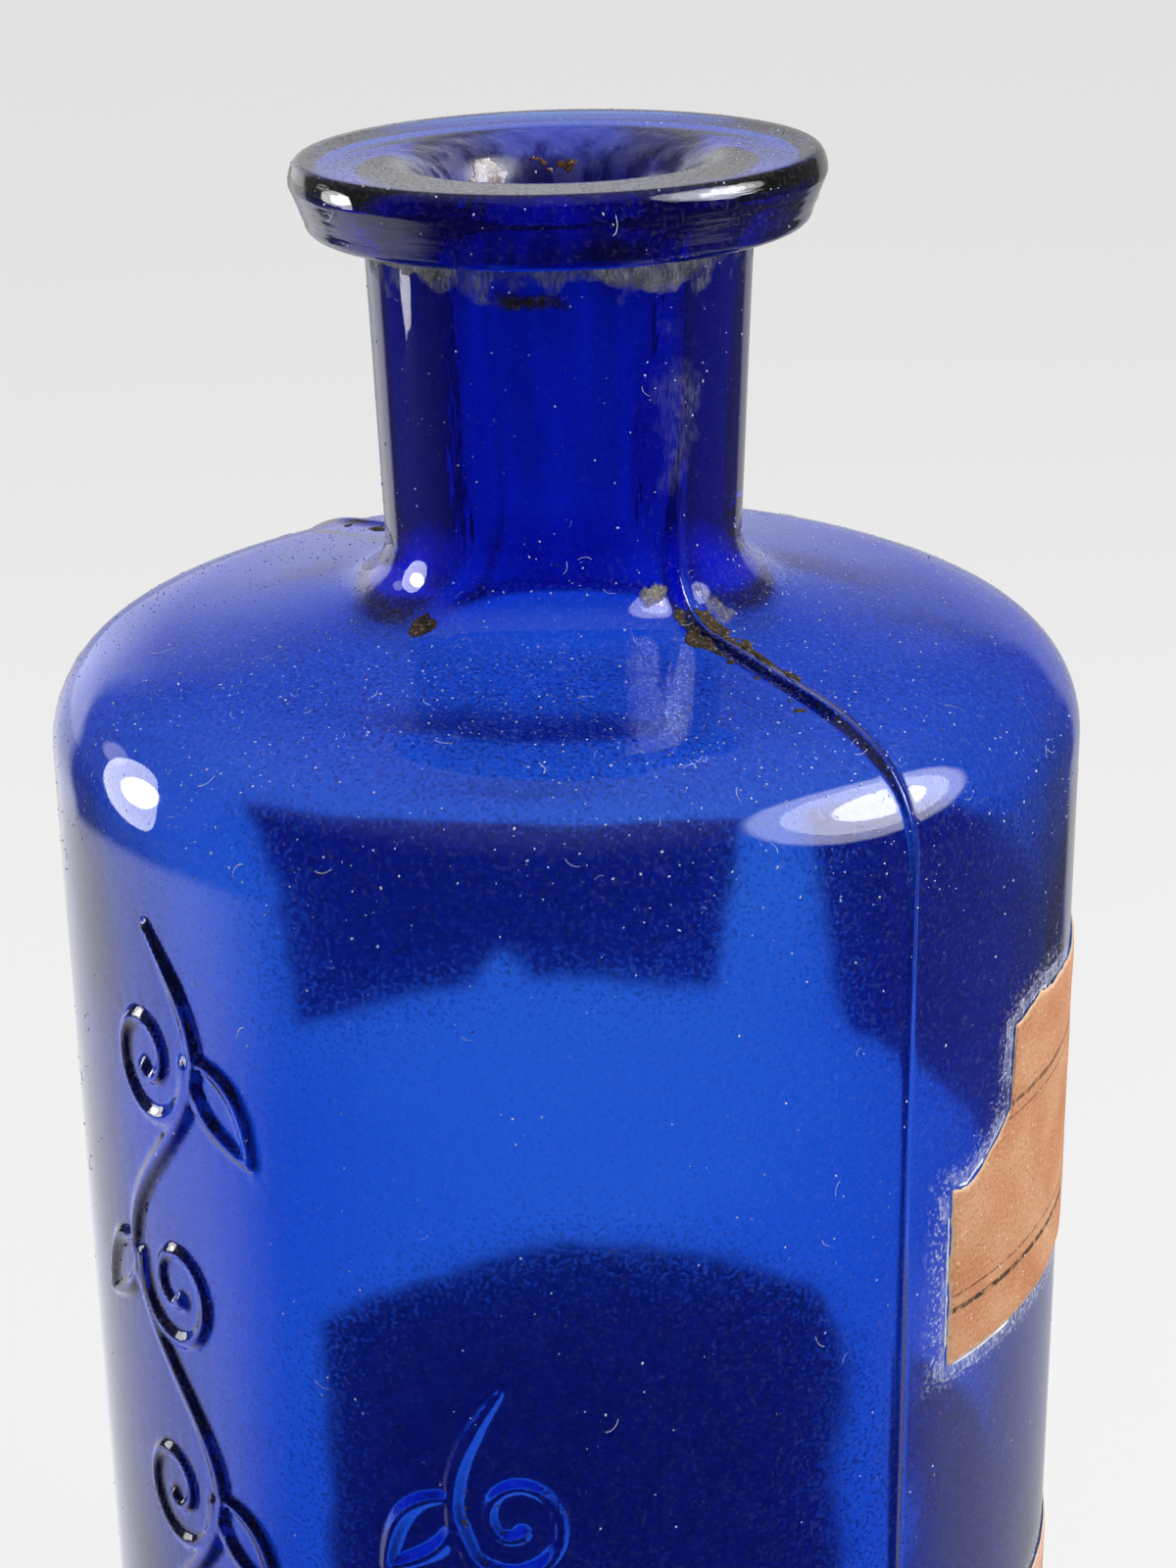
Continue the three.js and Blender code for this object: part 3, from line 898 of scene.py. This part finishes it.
def buildPasteFilm(film, material, shift):
    shape = filmShape
    depths = np.arange(film["depth"][1], film["depth"][0], -shape["step"])
    acrosses = np.arange(*film["across"], shape["step"])
    depth, across = gridOf(depths, acrosses)
    away = labelDistance(labelPieces[0], np.stack([across, depth], -1))
    grain = grainAt(np.stack([across, depth, 0 * depth], -1), shape["grain"], 4, shift)
    wander = away + shape["wander"] * grain
    band = film["band"] * smoothstep(0.0, shape["soft"], away)
    band *= smoothstep(film["line"] + shape["soft"], 0.5 * film["line"], wander)
    edge = film["edge"] * np.exp(-((wander - film["line"]) / shape["lineWidth"]) ** 2)
    cover = (band + edge) * np.clip(0.75 + 1.3 * grain, 0, 1.2)
    keep = wholeCells((cover > shape["leastCover"]).reshape(len(depths), len(acrosses)))
    bottom, top = (wallPoints(across, depth, lift) for lift in shape["lifts"])
    return closedPatch(film["name"], keep, top, bottom, material, {"cover": cover})


# Low mounds along a route on the unrolled wall, offset to the route's right-hand side and broken up
def buildPaste(paste, material, shift):
    shape = pasteShape
    line = walk(np.array(paste["route"], float), shape["step"])
    steps = np.arange(len(line)) * shape["step"]
    pad = shape["smooth"] // 2
    ahead = np.pad(np.gradient(line, axis=0), ((pad, pad), (0, 0)), mode="edge")
    even = np.ones(shape["smooth"]) / shape["smooth"]
    ahead = np.stack([np.convolve(ahead[:, k], even, "valid") for k in (0, 1)], -1)
    ahead /= np.linalg.norm(ahead, axis=1)[:, None]
    side = np.stack([ahead[:, 1], -ahead[:, 0]], -1)
    share, size = shape["wander"]
    wander = share * paste["half"] * ragged(steps, size, shift)
    line = line - side * (paste["offset"] + wander)[:, None]
    middle, more, size = shape["swell"]
    swell = np.clip(middle + more * ragged(steps, size, shift + 4), 0.25, 1.5)
    shown = ragged(steps, 3.0, shift + 8) > paste["breaks"] - 0.5
    changes = np.nonzero(np.diff(np.concatenate([[0], shown, [0]])))[0]
    points, faces = [], []
    for start, stop in zip(changes[::2], changes[1::2]):
        if stop - start < shape["leastSteps"]:
            continue
        first = len(points)
        for k in range(start, stop):
            least, slope = shape["ends"]
            scale = swell[k] * min(1.0, least + slope * min(k - start, stop - 1 - k))
            for across, raised in shape["profile"]:
                spot = line[k] + side[k] * across * paste["half"] * scale
                points.append(wallPoints(*spot, paste["rise"] * scale if raised else shape["foot"]))
        faces += [tuple(first + k for k in f) for f in ringFaces(stop - start, 4)]
        faces.append(tuple(range(first + 3, first - 1, -1)))
        faces.append(tuple(range(len(points) - 4, len(points))))
    return newObject(paste["name"], np.array(points) * mm, faces, material)


# Dirt: dried crusts on the glass, by angles and by depth on the neck, radius on the shoulder
# or span from the throat's start
crustColumns = ("name", "by", "range", "angle", "thick", "from", "tone", "ragged")
crusts = (
    ("crust_under_lip_left", "depth", (5.35, 8.0), (-112, -68), 0.16, "top", "grey", 0.4),
    ("crust_under_lip_middle", "depth", (6.6, 9.6), (-63, -28), 0.1, "middle", "darkFilm", 0.3),
    ("crust_under_lip_right", "depth", (5.35, 9.3), (-30, 36), 0.18, "top", "greyThick", 0.2),
    ("crust_under_lip_back", "depth", (5.4, 7.6), (70, 150), 0.2, "top", "pale", 0.62),
    ("crust_neck_foot", "radius", (17.2, 14.6), (-82, -70), 0.18, "middle", "dark", 0.62),
    ("crust_seam_foot", "radius", (19.0, 13.42), (0.5, 18), 0.12, "middle", "greyThick", 0.5),
    ("crust_seam_shoulder", "radius", (31, 14.4), (-7, 7), 0.18, "seam", "dark", 0.62),
    ("crust_seam_shoulder_back", "radius", (30, 15), (174, 186), 0.16, "seam", "dark", 0.62),
    ("crust_bore", "span", (-3.6, -1.2), (116, 172), 0.1, "middle", "rust", 0.7),
    # Near-white flakes where a lamp's glint falls in the bore: lime flakes and a painted highlight
    ("crust_bore_flakes", "span", (-3.1, -0.5), (154, 200), 0.14, "middle", "flake", 0.9),
    ("film_under_lip", "depth", (5.35, 9.0), (-178, 178), 0.03, "top", "greyFilm", 0.62),
    ("film_neck_seam", "depth", (6.0, 28.0), (-16, 16), 0.03, "middle", "faintFilm", 0.3),
    ("crust_seam_foot_left", "radius", (14.6, 13.42), (-15, -0.5), 0.12, "middle", "greyThick", 0.6),
)
crustShape = {
    "step": 0.17,
    "grain": 2.6,
    "fineGrain": 0.6,
    "seat": 0.008,
    "leastLift": 0.02,
    "topHold": 0.42,  # share of the height from which dirt at the top holds
    "rising": {"crust_under_lip_right": 0.75},  # its lower rim climbs to the right
    "middleHold": (0.42, 1.6),  # in the middle, and less towards the rim
    "seamHold": 0.42,
    "fromSeam": 1.1,  # two lines beside a seam
}


# A thin dried crust that grows out of the grain: closed, with a ragged rim
def buildCrust(crust, material, shift):
    shape = crustShape
    if crust["by"] == "depth":
        high, low = (lengthAt("neck", 1, lipTop - d) for d in crust["range"])
        spanRadius = glass["neckTop"]
    elif crust["by"] == "span":
        low, high = (throatStart + s for s in crust["range"])
        spanRadius = glass["throat"]
    else:
        low, high = (lengthAt("shoulder", 0, r) for r in crust["range"])
        spanRadius = sum(crust["range"]) / 2
    along = np.arange(low, high, shape["step"])
    angle = np.arange(*crust["angle"], math.degrees(shape["step"] / spanRadius))
    length, turn = gridOf(along, angle)
    plain = skinPoints(length, turn)
    left, right = crust["angle"]
    across = (turn - left) / (right - left)
    up = (length - low) / (high - low)
    if crust["from"] == "top":
        fromSide = np.minimum(across, 1 - across) * 2
        hold = up - shape["topHold"] - 0.4 * (1 - smoothstep(0, 0.3, fromSide))
        hold -= shape["rising"].get(crust["name"], 0.0) * smoothstep(0.5, 1.0, across)
    elif crust["from"] == "seam":
        middle = np.abs(np.radians(turn - (left + right) / 2) * spanRadius)
        ends = 1 - smoothstep(0, 0.2, np.minimum(up * 1.2, (1 - up) * 4))
        hold = 0.02 + shape["seamHold"] * (up - np.abs(middle - shape["fromSeam"])) - 0.5 * ends
    else:
        most, less = shape["middleHold"]
        hold = most - less * np.hypot(across - 0.5, up - 0.5)
    cover = hold + crust["ragged"] * grainAt(plain, shape["grain"], 4, shift)
    keep = wholeCells(cover.reshape(len(along), len(angle)) > 0)
    fine = grainAt(plain, shape["fineGrain"], 2, shift + 2)
    lift = crust["thick"] * np.clip(cover * 2.2, 0.12, 1) * (0.75 + 0.5 * fine)
    bottom = skinPoints(length, turn, shape["seat"])
    top = skinPoints(length, turn, np.maximum(lift, shape["leastLift"]))
    return closedPatch(crust["name"], keep, top, bottom, material, {"cover": np.clip(2.6 * cover, 0, 1)})


def cellCorners(grid):
    return grid[:-1, :-1], grid[1:, :-1], grid[1:, 1:], grid[:-1, 1:]


# Cells whose four corners are kept, and more so that no two cells meet only at a corner
def wholeCells(corners):
    keep = np.logical_and.reduce(cellCorners(corners))
    for _ in range(8):
        a, b, c, d = cellCorners(keep)
        rising, falling = a & c & ~b & ~d, b & d & ~a & ~c
        if not (rising.any() or falling.any()):
            break
        keep[1:, :-1] |= rising
        keep[:-1, :-1] |= falling
    return keep


# Closed thin solid over the kept cells of a grid, with numbers for its points
def closedPatch(name, keep, top, bottom, material, shares):
    columns = keep.shape[1] + 1
    count = len(top)
    faces = []
    sides = {}
    for r, c in zip(*np.nonzero(keep)):
        a = int(r) * columns + int(c)
        quad = (a, a + 1, a + columns + 1, a + columns)
        faces.append(quad)
        faces.append(tuple(k + count for k in quad[::-1]))
        for start, end in zip(quad, quad[1:] + quad[:1]):
            if not sides.pop((end, start), False):
                sides[(start, end)] = True
    faces += [(start + count, end + count, end, start) for start, end in sides]
    used = sorted({k for f in faces for k in f})
    renumber = {k: n for n, k in enumerate(used)}
    points = np.concatenate([top, bottom])[used] * mm
    patch = newObject(name, points, [tuple(renumber[k] for k in f) for f in faces], material)
    for share, values in shares.items():
        addShare(patch.data, share, np.concatenate([values, values])[used])
    return patch


# Dried dirt, settled and caked on: matt, grainy, from pale lime grey to dark brown.
# As a film it is cloudy, and the glass shows through by its cover
def driedDirt(name, dark, middle, light, film=None):
    material, tree = newMaterial(name)
    place = objectPlace(tree)
    coarse, fine = (noiseAt(tree, place, 1 / (s * mm), d) for s, d in ((1.2, 5.0), (0.25, 3.0)))
    colour = tinted(tree, fit(tree, coarse, 0.35, 0.65), dark, middle)
    colour = tinted(tree, fit(tree, fine, 0.56, 0.7), colour, light)
    alpha = 1.0
    if film:
        cloud = ramp(tree, drawnNoise(tree, place, (0.22, 0.9), 3.0), 0.35, 0.68, *film)
        alpha = calc(tree, "MULTIPLY", attribute(tree, "cover"), cloud, clamp=True)
    mattSurface(tree, colour, bumped(tree, fine, 0.6, 0.1), roughness=0.9, shine=0.2, alpha=alpha)
    return material


# Settled dust and fibres: counts per square metre at full cover and sizes in mm
dust = {
    "dust_specks": {"amount": 1.0e6, "size": (0.02, 0.1)},
    "dust_fibres": {"amount": 7.0e4, "size": (0.16, 1.1)},
    "dark_specks": {"amount": 9.0e3, "size": (0.04, 0.14)},
    # Dark specks on one side of the scroll's strokes: settled dirt and painted shade
    "scroll_dirt_and_shade": {"amount": 5.0e6, "size": (0.04, 0.16)},
    "seed": 11,
    "sizeSeed": 31,
    "stretchSeed": 57,
    "columns": 144,
    "lift": 0.02,
    "stretch": ((0.7, 0.6, 0.5), (1.6, 1.1, 0.8)),
    "fewLarge": 3.0,
    "wholeTurn": 6.283,
    "fibreSweep": 1.3,
    "fibreRadius": 0.03,
    "patches": 14.0,  # size of thinner and thicker patches
    "bedStart": 1.25,  # beds beside the scroll's strokes, in half widths of a stroke
    "bedWidth": 0.3,
    "bedLift": 0.03,
    "bedPatches": 4.0,
    "bedEvery": 3,  # one pair of bed points for so many of a stroke's
}


# Scatter: points on a bed by its cover, each with one small turned and stretched piece
def scatterTree(shape):
    tree = bpy.data.node_groups.new("scatter_" + shape, "GeometryNodeTree")
    sockets = (("Bed", "Geometry"), ("Amount", "Float"), ("Seed", "Int"), ("Small", "Float"),
               ("Large", "Float"), ("Material", "Material"))
    for name, kind in sockets:
        tree.interface.new_socket(name, in_out="INPUT", socket_type="NodeSocket" + kind)
    tree.interface.new_socket("Pieces", in_out="OUTPUT", socket_type="NodeSocketGeometry")
    entry = addNode(tree, "NodeGroupInput").outputs

    def add(kind, inputs=None, output=0, **settings):
        return addNode(tree, kind, settings, inputs).outputs[output]

    def drawn(seed, limits=None, output=1, kind="FLOAT"):
        return add("FunctionNodeRandomValue", {**(limits or {}), 8: seed}, output, data_type=kind)

    cover = add("GeometryNodeInputNamedAttribute", {"Name": "cover"}, data_type="FLOAT")
    density = calc(tree, "MULTIPLY", cover, entry["Amount"])
    points = addNode(
        tree, "GeometryNodeDistributePointsOnFaces", {"distribute_method": "RANDOM"},
        {"Mesh": entry["Bed"], "Density": density, "Seed": entry["Seed"]}).outputs
    spin = drawn(entry["Seed"], {3: dust["wholeTurn"]})
    turn = add("FunctionNodeAxisAngleToRotation", {"Angle": spin})
    turn = add("FunctionNodeRotateRotation", {0: points["Rotation"], 1: turn}, rotation_space="LOCAL")
    chance = calc(tree, "POWER", drawn(dust["sizeSeed"]), dust["fewLarge"])
    size = fit(tree, chance, 0.0, 1.0, entry["Small"], entry["Large"])
    stretch = drawn(dust["stretchSeed"], dict(enumerate(dust["stretch"])), 0, "FLOAT_VECTOR")
    scale = add("ShaderNodeVectorMath", {0: stretch, "Scale": size}, operation="SCALE")
    if shape == "speck":
        solid = add("GeometryNodeMeshIcoSphere", {"Radius": mm, "Subdivisions": 1})
    else:
        arc = add("GeometryNodeCurveArc", {"Resolution": 8, "Radius": mm, "Sweep Angle": dust["fibreSweep"]})
        ring = add("GeometryNodeCurvePrimitiveCircle", {"Resolution": 3, "Radius": dust["fibreRadius"] * mm})
        solid = add("GeometryNodeCurveToMesh", {"Curve": arc, "Profile Curve": ring, "Fill Caps": True})
    placed = add(
        "GeometryNodeInstanceOnPoints",
        {"Points": points["Points"], "Instance": solid, "Rotation": turn, "Scale": scale})
    plain = add("GeometryNodeRealizeInstances", {0: placed})
    painted = add("GeometryNodeSetMaterial", {"Geometry": plain, "Material": entry["Material"]})
    addNode(tree, "NodeGroupOutput", None, {0: painted})
    return tree


def buildScatter(name, bed, tree, material):
    modifier = bed.modifiers.new(name, "NODES")
    modifier.node_group = tree
    small, large = dust[name]["size"]
    values = {
        "Amount": dust[name]["amount"], "Seed": dust["seed"], "Small": small, "Large": large,
        "Material": material}
    for socket in tree.interface.items_tree:
        if socket.name in values:
            modifier[socket.identifier] = values[socket.name]
    bpy.context.view_layer.update()
    evaluated = bed.evaluated_get(bpy.context.evaluated_depsgraph_get())
    mesh = bpy.data.meshes.new_from_object(evaluated)
    mesh.name = name
    bed.modifiers.clear()
    piece = linkNew(name, mesh)
    print("%s: %d faces" % (name, len(mesh.polygons)))
    return piece


# The outside of the glass as a bed for dust, with its cover
def dustBed():
    along = sectionLength[zoneRows["wall"][0]:zoneRows["lip"][1] - 9]
    angles = np.arange(dust["columns"]) * 360 / dust["columns"]
    length, turn = gridOf(along, angles)
    points = skinPoints(length, turn, dust["lift"])
    cover = np.interp(
        length,
        [glassFoot, wallEnd - 60, wallEnd - 4, wallEnd + 6, shoulderEnd - 5, shoulderEnd + 2, neckEnd,
         neckEnd + 7, neckEnd + 12],
        [0.02, 0.05, 0.16, 1.0, 1.0, 0.3, 0.2, 0.12, 0.6])
    cover *= np.clip(1 + 1.1 * grainAt(points, dust["patches"], 3, 8.0), 0.1, 2)
    bed = newObject("dust_bed", points * mm, ringFaces(len(along), len(angles)), None)
    addShare(bed.data, "cover", cover)
    return bed


# Narrow beds on one side of the scroll's strokes: dark specks there are settled dirt and also painted shade
# beside the relief
def scrollBed():
    points, faces = [], []
    for line, width in strokes:
        ahead = np.gradient(line, axis=0)
        ahead /= np.linalg.norm(ahead, axis=1)[:, None] + 1e-9
        side = np.stack([-ahead[:, 1], ahead[:, 0]], -1)
        # Every bed goes to the same side of its stroke, so its dark specks are painted shade as well as dirt
        side = side * np.where(side[:, :1] < 0, -1, 1)
        away = width[:, None] * dust["bedStart"]
        near, far = line + side * away, line + side * (away + dust["bedWidth"])
        start = len(points)
        for p, q in list(zip(near, far))[::dust["bedEvery"]]:
            points += [(p[0], lipTop - p[1]), (q[0], lipTop - q[1])]
        faces += [(k, k + 1, k + 3, k + 2) for k in range(start, len(points) - 2, 2)]
    flat = np.array(points)
    placed = wallPoints(flat[:, 0], flat[:, 1], dust["bedLift"])
    bed = newObject("scroll_bed", placed * mm, faces, None)
    addShare(bed.data, "cover", np.clip(0.35 + 1.6 * grainAt(placed, dust["bedPatches"], 3, 2.0), 0, 1))
    return bed


# Light in the studio. Four numbers are a ramp: its start and end, and the levels there.
# Of three, the third is a level beyond the ramp, or before it where it is noted
studio = {
    "pale": 0.95,
    "ambient": 0.38,
    "throughLit": 2.4,  # what lights paper through the glass, lamps and room together
    "seen": (-0.95, -0.65, 0.95, 0.25),  # seen through the glass, from behind to the sides and front
    "horizon": (-0.3, 0.3, 0.5, 0.85),  # mirrored behind the bottle, from right to left
    "farLeft": (0.26, 0.44, 1.5),
    "above": (0.12, 0.5, 0.12),
    "side": (-0.5, 0.8, 0.12, 0.17),
    "front": (-0.1, 0.35, 0.03),
    "overhead": (0.5, 0.92, 0.36),
    "behindAzimuth": -175.0,  # the middle of what is pale behind, degrees from the camera's side
    "behindEdge": (0.0, 0.4, 0.755, 0.92),  # it narrows from the horizon up
    "behindSoft": (-0.035, 0.035),
    "leftShare": (0.2, 0.6, 0.0, 1.0),
    # The floor's levels for mirrored rays are painted light, brightest near the bottle on the left
    "floorNear": (0.58, 1.2),  # the floor beside the bottle, right and left
    "floorBehind": (0.3, 0.5, 0.6, 1.3),  # and further out, behind it
    "floorSide": (0.72, 0.79, 0.1),  # the level is before the ramp
    "floorFront": (0.05, 0.5, 0.03),
    "nearReach": (0.185, 0.215),  # metres from the axis, on the right
    "leftReachMore": 0.15,
    "floorRadius": 6.0,
    "floorDrop": 0.0002,
    "floorOwnLight": (1.8, 4.5, 0.7, 1.0),
    "floorTone": 0.8,
}

# Round soft lamps: angles from the camera's side, degrees, and what the glass mirrors
lamps = (
    {"name": "leftDisc", "azimuth": -105.5, "elevation": 5.0, "spread": (10.5, 18.5), "glow": 6.0,
     "lean": 16.0},
    {"name": "leftCore", "azimuth": -102.5, "elevation": 8.5, "spread": (6.5, 8.5), "glow": 12.0},
    {"name": "rightDisc", "azimuth": 75.0, "elevation": 33.0, "spread": (19.0, 19.0), "glow": 4.5},
    {"name": "rightCore", "azimuth": 77.5, "elevation": 32.0, "spread": (11.5, 10.5), "glow": 11.0},
)
# Soft panels that only the glass mirrors
panels = (
    {"azimuth": 76.0, "elevation": 33.5, "spread": 25.0, "soft": 1.5, "glow": 5.0},
    {"azimuth": -122.0, "elevation": 15.0, "spread": 4.8, "soft": 1.0, "glow": 1.7},
)
lampDistance = 0.6
lampAim = Vector((0, 0, 0.135))


# A direction from its angles to the camera's side
def towards(azimuth, elevation):
    turn = math.radians(view["azimuth"] + azimuth)
    rise = math.radians(elevation)
    return Vector((math.cos(turn) * math.cos(rise), math.sin(turn) * math.cos(rise), math.sin(rise)))


# How far a vector, laid level, points to a side: 0 is the camera's, -90 the left
def facing(tree, vector, azimuth):
    flat = vectorCalc(tree, "MULTIPLY", vector, (1, 1, 0))
    return vectorCalc(tree, "DOT_PRODUCT", vectorCalc(tree, "NORMALIZE", flat), towards(azimuth, 0.0))


# Sorts of ray: seen straight, through the glass, mirrored, and one that gathers light for a matt surface
def raySorts(tree):
    path = addNode(tree, "ShaderNodeLightPath").outputs
    through = path["Is Transmission Ray"]
    mirrored = calc(tree, "SUBTRACT", path["Is Glossy Ray"], through, clamp=True)
    return path["Is Camera Ray"], through, mirrored, calc(tree, "MINIMUM", path["Diffuse Depth"], 1.0)


# Adds what is seen or gathered through the glass to the level seen without it
def withThrough(tree, level, place, through, lighting):
    inside = ramp(tree, facing(tree, place, 0.0), *studio["seen"])
    return mixed(tree, through, level, mixed(tree, lighting, inside, studio["throughLit"]))


# Takes a level over to another as a value rises
def over(tree, level, value, start, end, then):
    return ramp(tree, value, start, end, level, then)


# The room as the glass mirrors it: dim in front, pale behind near the horizon and overhead, with soft panels
def mirroredRoom(tree, direction):
    left = facing(tree, direction, -90.0)
    up = shader(tree, "SeparateXYZ", {0: direction}, "Z")
    horizon = over(tree, ramp(tree, left, *studio["horizon"]), left, *studio["farLeft"])
    behind = over(tree, horizon, up, *studio["above"])
    side = ramp(tree, left, *studio["side"])
    back = facing(tree, direction, studio["behindAzimuth"])
    inward = calc(tree, "SUBTRACT", back, ramp(tree, up, *studio["behindEdge"]))
    level = ramp(tree, inward, *studio["behindSoft"], side, behind)
    level = over(tree, level, facing(tree, direction, 0.0), *studio["front"])
    level = over(tree, level, up, *studio["overhead"])
    for panel in panels:
        near = vectorCalc(tree, "DOT_PRODUCT", direction, towards(panel["azimuth"], panel["elevation"]))
        rim = [math.cos(math.radians(panel["spread"] + s * panel["soft"])) for s in (1, -1)]
        level = calc(tree, "ADD", level, ramp(tree, near, *rim, 0.0, panel["glow"]))
    return level


# The floor as the glass mirrors it, painted light: a painted pool of light close to the bottle and behind
# it, painted shade at the sides and in front
def mirroredFloor(tree, place):
    left = facing(tree, place, -90.0)
    leftShare = ramp(tree, left, *studio["leftShare"])
    near = mixed(tree, leftShare, *studio["floorNear"])
    behind = ramp(tree, left, *studio["floorBehind"])
    back = facing(tree, place, studio["behindAzimuth"])
    beyond = ramp(tree, back, *studio["floorSide"], behind)
    more = calc(tree, "MULTIPLY", leftShare, studio["leftReachMore"])
    distance = calc(tree, "SUBTRACT", vectorCalc(tree, "LENGTH", place), more)
    level = ramp(tree, distance, *studio["nearReach"], near, beyond)
    return over(tree, level, facing(tree, place, 0.0), *studio["floorFront"])


def buildWorld():
    world = bpy.data.worlds.new("paleRoom")
    world.use_nodes = True
    tree = world.node_tree
    tree.nodes.clear()
    straight, through, mirrored, lighting = raySorts(tree)
    direction = shader(tree, "TexCoord", None, "Generated")
    level = mixed(tree, straight, studio["ambient"], studio["pale"])
    level = withThrough(tree, level, direction, through, lighting)
    level = mixed(tree, mirrored, level, mirroredRoom(tree, direction))
    shade = shader(tree, "Background", {"Color": srgb("ffffff"), "Strength": level})
    addNode(tree, "ShaderNodeOutputWorld", None, {"Surface": shade})
    bpy.context.scene.world = world


# Matt paint, rolled on: it takes the bottle's shadow and shows its own pale level to the camera; to the
# glass it shows painted light, pale behind, a painted pool of light beside the bottle and painted shade at
# the sides and in front
def floorMaterial():
    material, tree = newMaterial("paleFloorMattePaint")
    straight, through, mirrored, lighting = raySorts(tree)
    place = objectPlace(tree)
    level = withThrough(tree, studio["pale"], place, through, lighting)
    level = mixed(tree, mirrored, level, mirroredFloor(tree, place))
    shown = calc(tree, "MAXIMUM", straight, calc(tree, "MAXIMUM", through, mirrored))
    own = ramp(tree, vectorCalc(tree, "LENGTH", place), *studio["floorOwnLight"])
    tone = calc(tree, "MINIMUM", level, studio["floorTone"])
    colour = shader(tree, "CombineColor", {0: tone, 1: tone, 2: tone})
    lit = shader(tree, "BsdfDiffuse", {"Color": colour})
    glow = shader(tree, "Emission", {"Color": srgb("ffffff"), "Strength": level})
    mix = shader(tree, "MixShader", {0: calc(tree, "MULTIPLY", shown, own), 1: lit, 2: glow})
    addNode(tree, "ShaderNodeOutputMaterial", None, {"Surface": mix})
    return material


def buildFloor():
    radius = studio["floorRadius"]
    turns = np.radians(np.arange(0, 360, 5))
    rim = [(radius * math.cos(a), radius * math.sin(a), -studio["floorDrop"]) for a in turns]
    floor = newObject("pale_floor", rim, [tuple(range(len(rim)))], floorMaterial(), False)


def buildLamps():
    for lamp in lamps:
        away = towards(lamp["azimuth"], lamp["elevation"])
        wide, tall = (lampDistance * math.tan(math.radians(s)) for s in lamp["spread"])
        data = bpy.data.lights.new(lamp["name"], "AREA")
        data.shape = "ELLIPSE"
        data.size = 2 * wide
        data.size_y = 2 * tall
        data.energy = lamp["glow"] * math.pi * math.pi * wide * tall
        light = linkNew(lamp["name"], data)
        lean = Matrix.Rotation(math.radians(lamp.get("lean", 0.0)), 3, "Z")
        turn = away.to_track_quat("Z", "Y").to_matrix() @ lean
        light.matrix_world = Matrix.Translation(lampAim + away * lampDistance) @ turn.to_4x4()
        light.visible_camera = False
        light.visible_transmission = False
    print("lamps: %d" % len(lamps))


buildCamera()
buildWorld()
buildFloor()
buildLamps()
glassPiece = buildGlass(cobaltGlass())
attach(glassPiece, "root")
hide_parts("bottle_body", "lip_ring")

# Each paper's tones, its paste, and its rules: depth, half width and strength
papers = {
    "upper_label_paper": agedPaper(
        "ragPaperTanPasted", "b87c57", "cb9a76", "915b3e", ("9ab890", "ffffd8"),
        ((79.5, 0.2, 0.95), (78.3, 0.06, 0.7), (65.4, 0.18, 0.7), (66.5, 0.06, 0.6))),
    "lower_label_paper": agedPaper(
        "ragPaperPinkishTanPasted", "cd9c86", "ddb8a2", "ab7860", ("7c9c78", "cfe8b8"),
        ((114.6, 0.16, 0.8), (115.8, 0.05, 0.6), (155.4, 0.16, 0.8), (154.2, 0.05, 0.6))),
}
for piece in labelPieces:
    label = buildLabel(piece, papers[piece["slot"]])
    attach(label, "root")
    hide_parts(piece["node"])
print("labels: %d pieces" % len(labelPieces))

dirts = {
    "pale": driedDirt("driedLimeDirtCaked", "5c5140", "8f8874", "bdb8a8"),
    # Dark brown dirt; beside the scroll's strokes it also paints shade
    "dark": driedDirt("driedBrownDirtCakedAndShade", "211a13", "4a3d2c", "8c7f6a"),
    "rust": driedDirt("driedResidueCaked", "3a2417", "6b4a30", "b9a48c"),
    "grey": driedDirt("driedGreyDirtCaked", "4b4a42", "74736a", "a2a199"),
    # Near-white: lime flakes, and a painted highlight in the bore
    "flake": driedDirt("driedLimeFlakesAndHighlight", "8a7568", "d8d4cf", "fbfaf8"),
    "darkFilm": driedDirt("brownDirtFilmDried", "17130f", "2e271f", "5a5146", (0.8, 1.3)),
    "greyThick": driedDirt("greyDirtCakedThin", "6a6658", "959183", "c2beb2", (0.55, 1.4)),
    "greyFilm": driedDirt("greyDirtFilmDried", "55574f", "7b7d75", "a5a7a1", (0.1, 0.6)),
    "faintFilm": driedDirt("paleDirtFilmWiped", "8d8fa4", "b0b3c6", "dcdeea", (0.01, 0.08)),
}
# Each crust, paste line and film takes its own part of the noise
for index, row in enumerate(crusts):
    crust = dict(zip(crustColumns, row))
    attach(buildCrust(crust, dirts[crust["tone"]], 11.3 * index + 2), "root")
print("crusts: %d" % len(crusts))

driedPaste = driedDirt("starchPasteDried", "c4cbd6", "e4e8ef", "f7f8fb")
for index, paste in enumerate(pasteLines):
    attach(buildPaste(paste, driedPaste, 5.1 * index + 1), "root")
pasteFilm = driedDirt("starchPasteFilmDried", "a9b0cb", "cdd2e4", "eef0f8", (0.09, 0.78))
for index, film in enumerate(pasteFilms):
    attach(buildPasteFilm(film, pasteFilm, 3.9 * index + 6), "root")
print("paste lines: %d, films: %d" % (len(pasteLines), len(pasteFilms)))

paleDust = driedDirt("lintDustSettled", "b4bacb", "d3d7e2", "f1f3f8")
speckTree, fibreTree = scatterTree("speck"), scatterTree("fibre")
bed = dustBed()
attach(buildScatter("dust_specks", bed, speckTree, paleDust), "root")
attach(buildScatter("dust_fibres", bed, fibreTree, paleDust), "root")
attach(buildScatter("dark_specks", bed, speckTree, dirts["dark"]), "root")
bpy.data.objects.remove(bed)
# Dark specks on one side of the strokes: dirt and painted shade
bed = scrollBed()
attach(buildScatter("scroll_dirt_and_shade", bed, speckTree, dirts["dark"]), "root")
bpy.data.objects.remove(bed)

bpy.context.scene.view_settings.view_transform = "Standard"
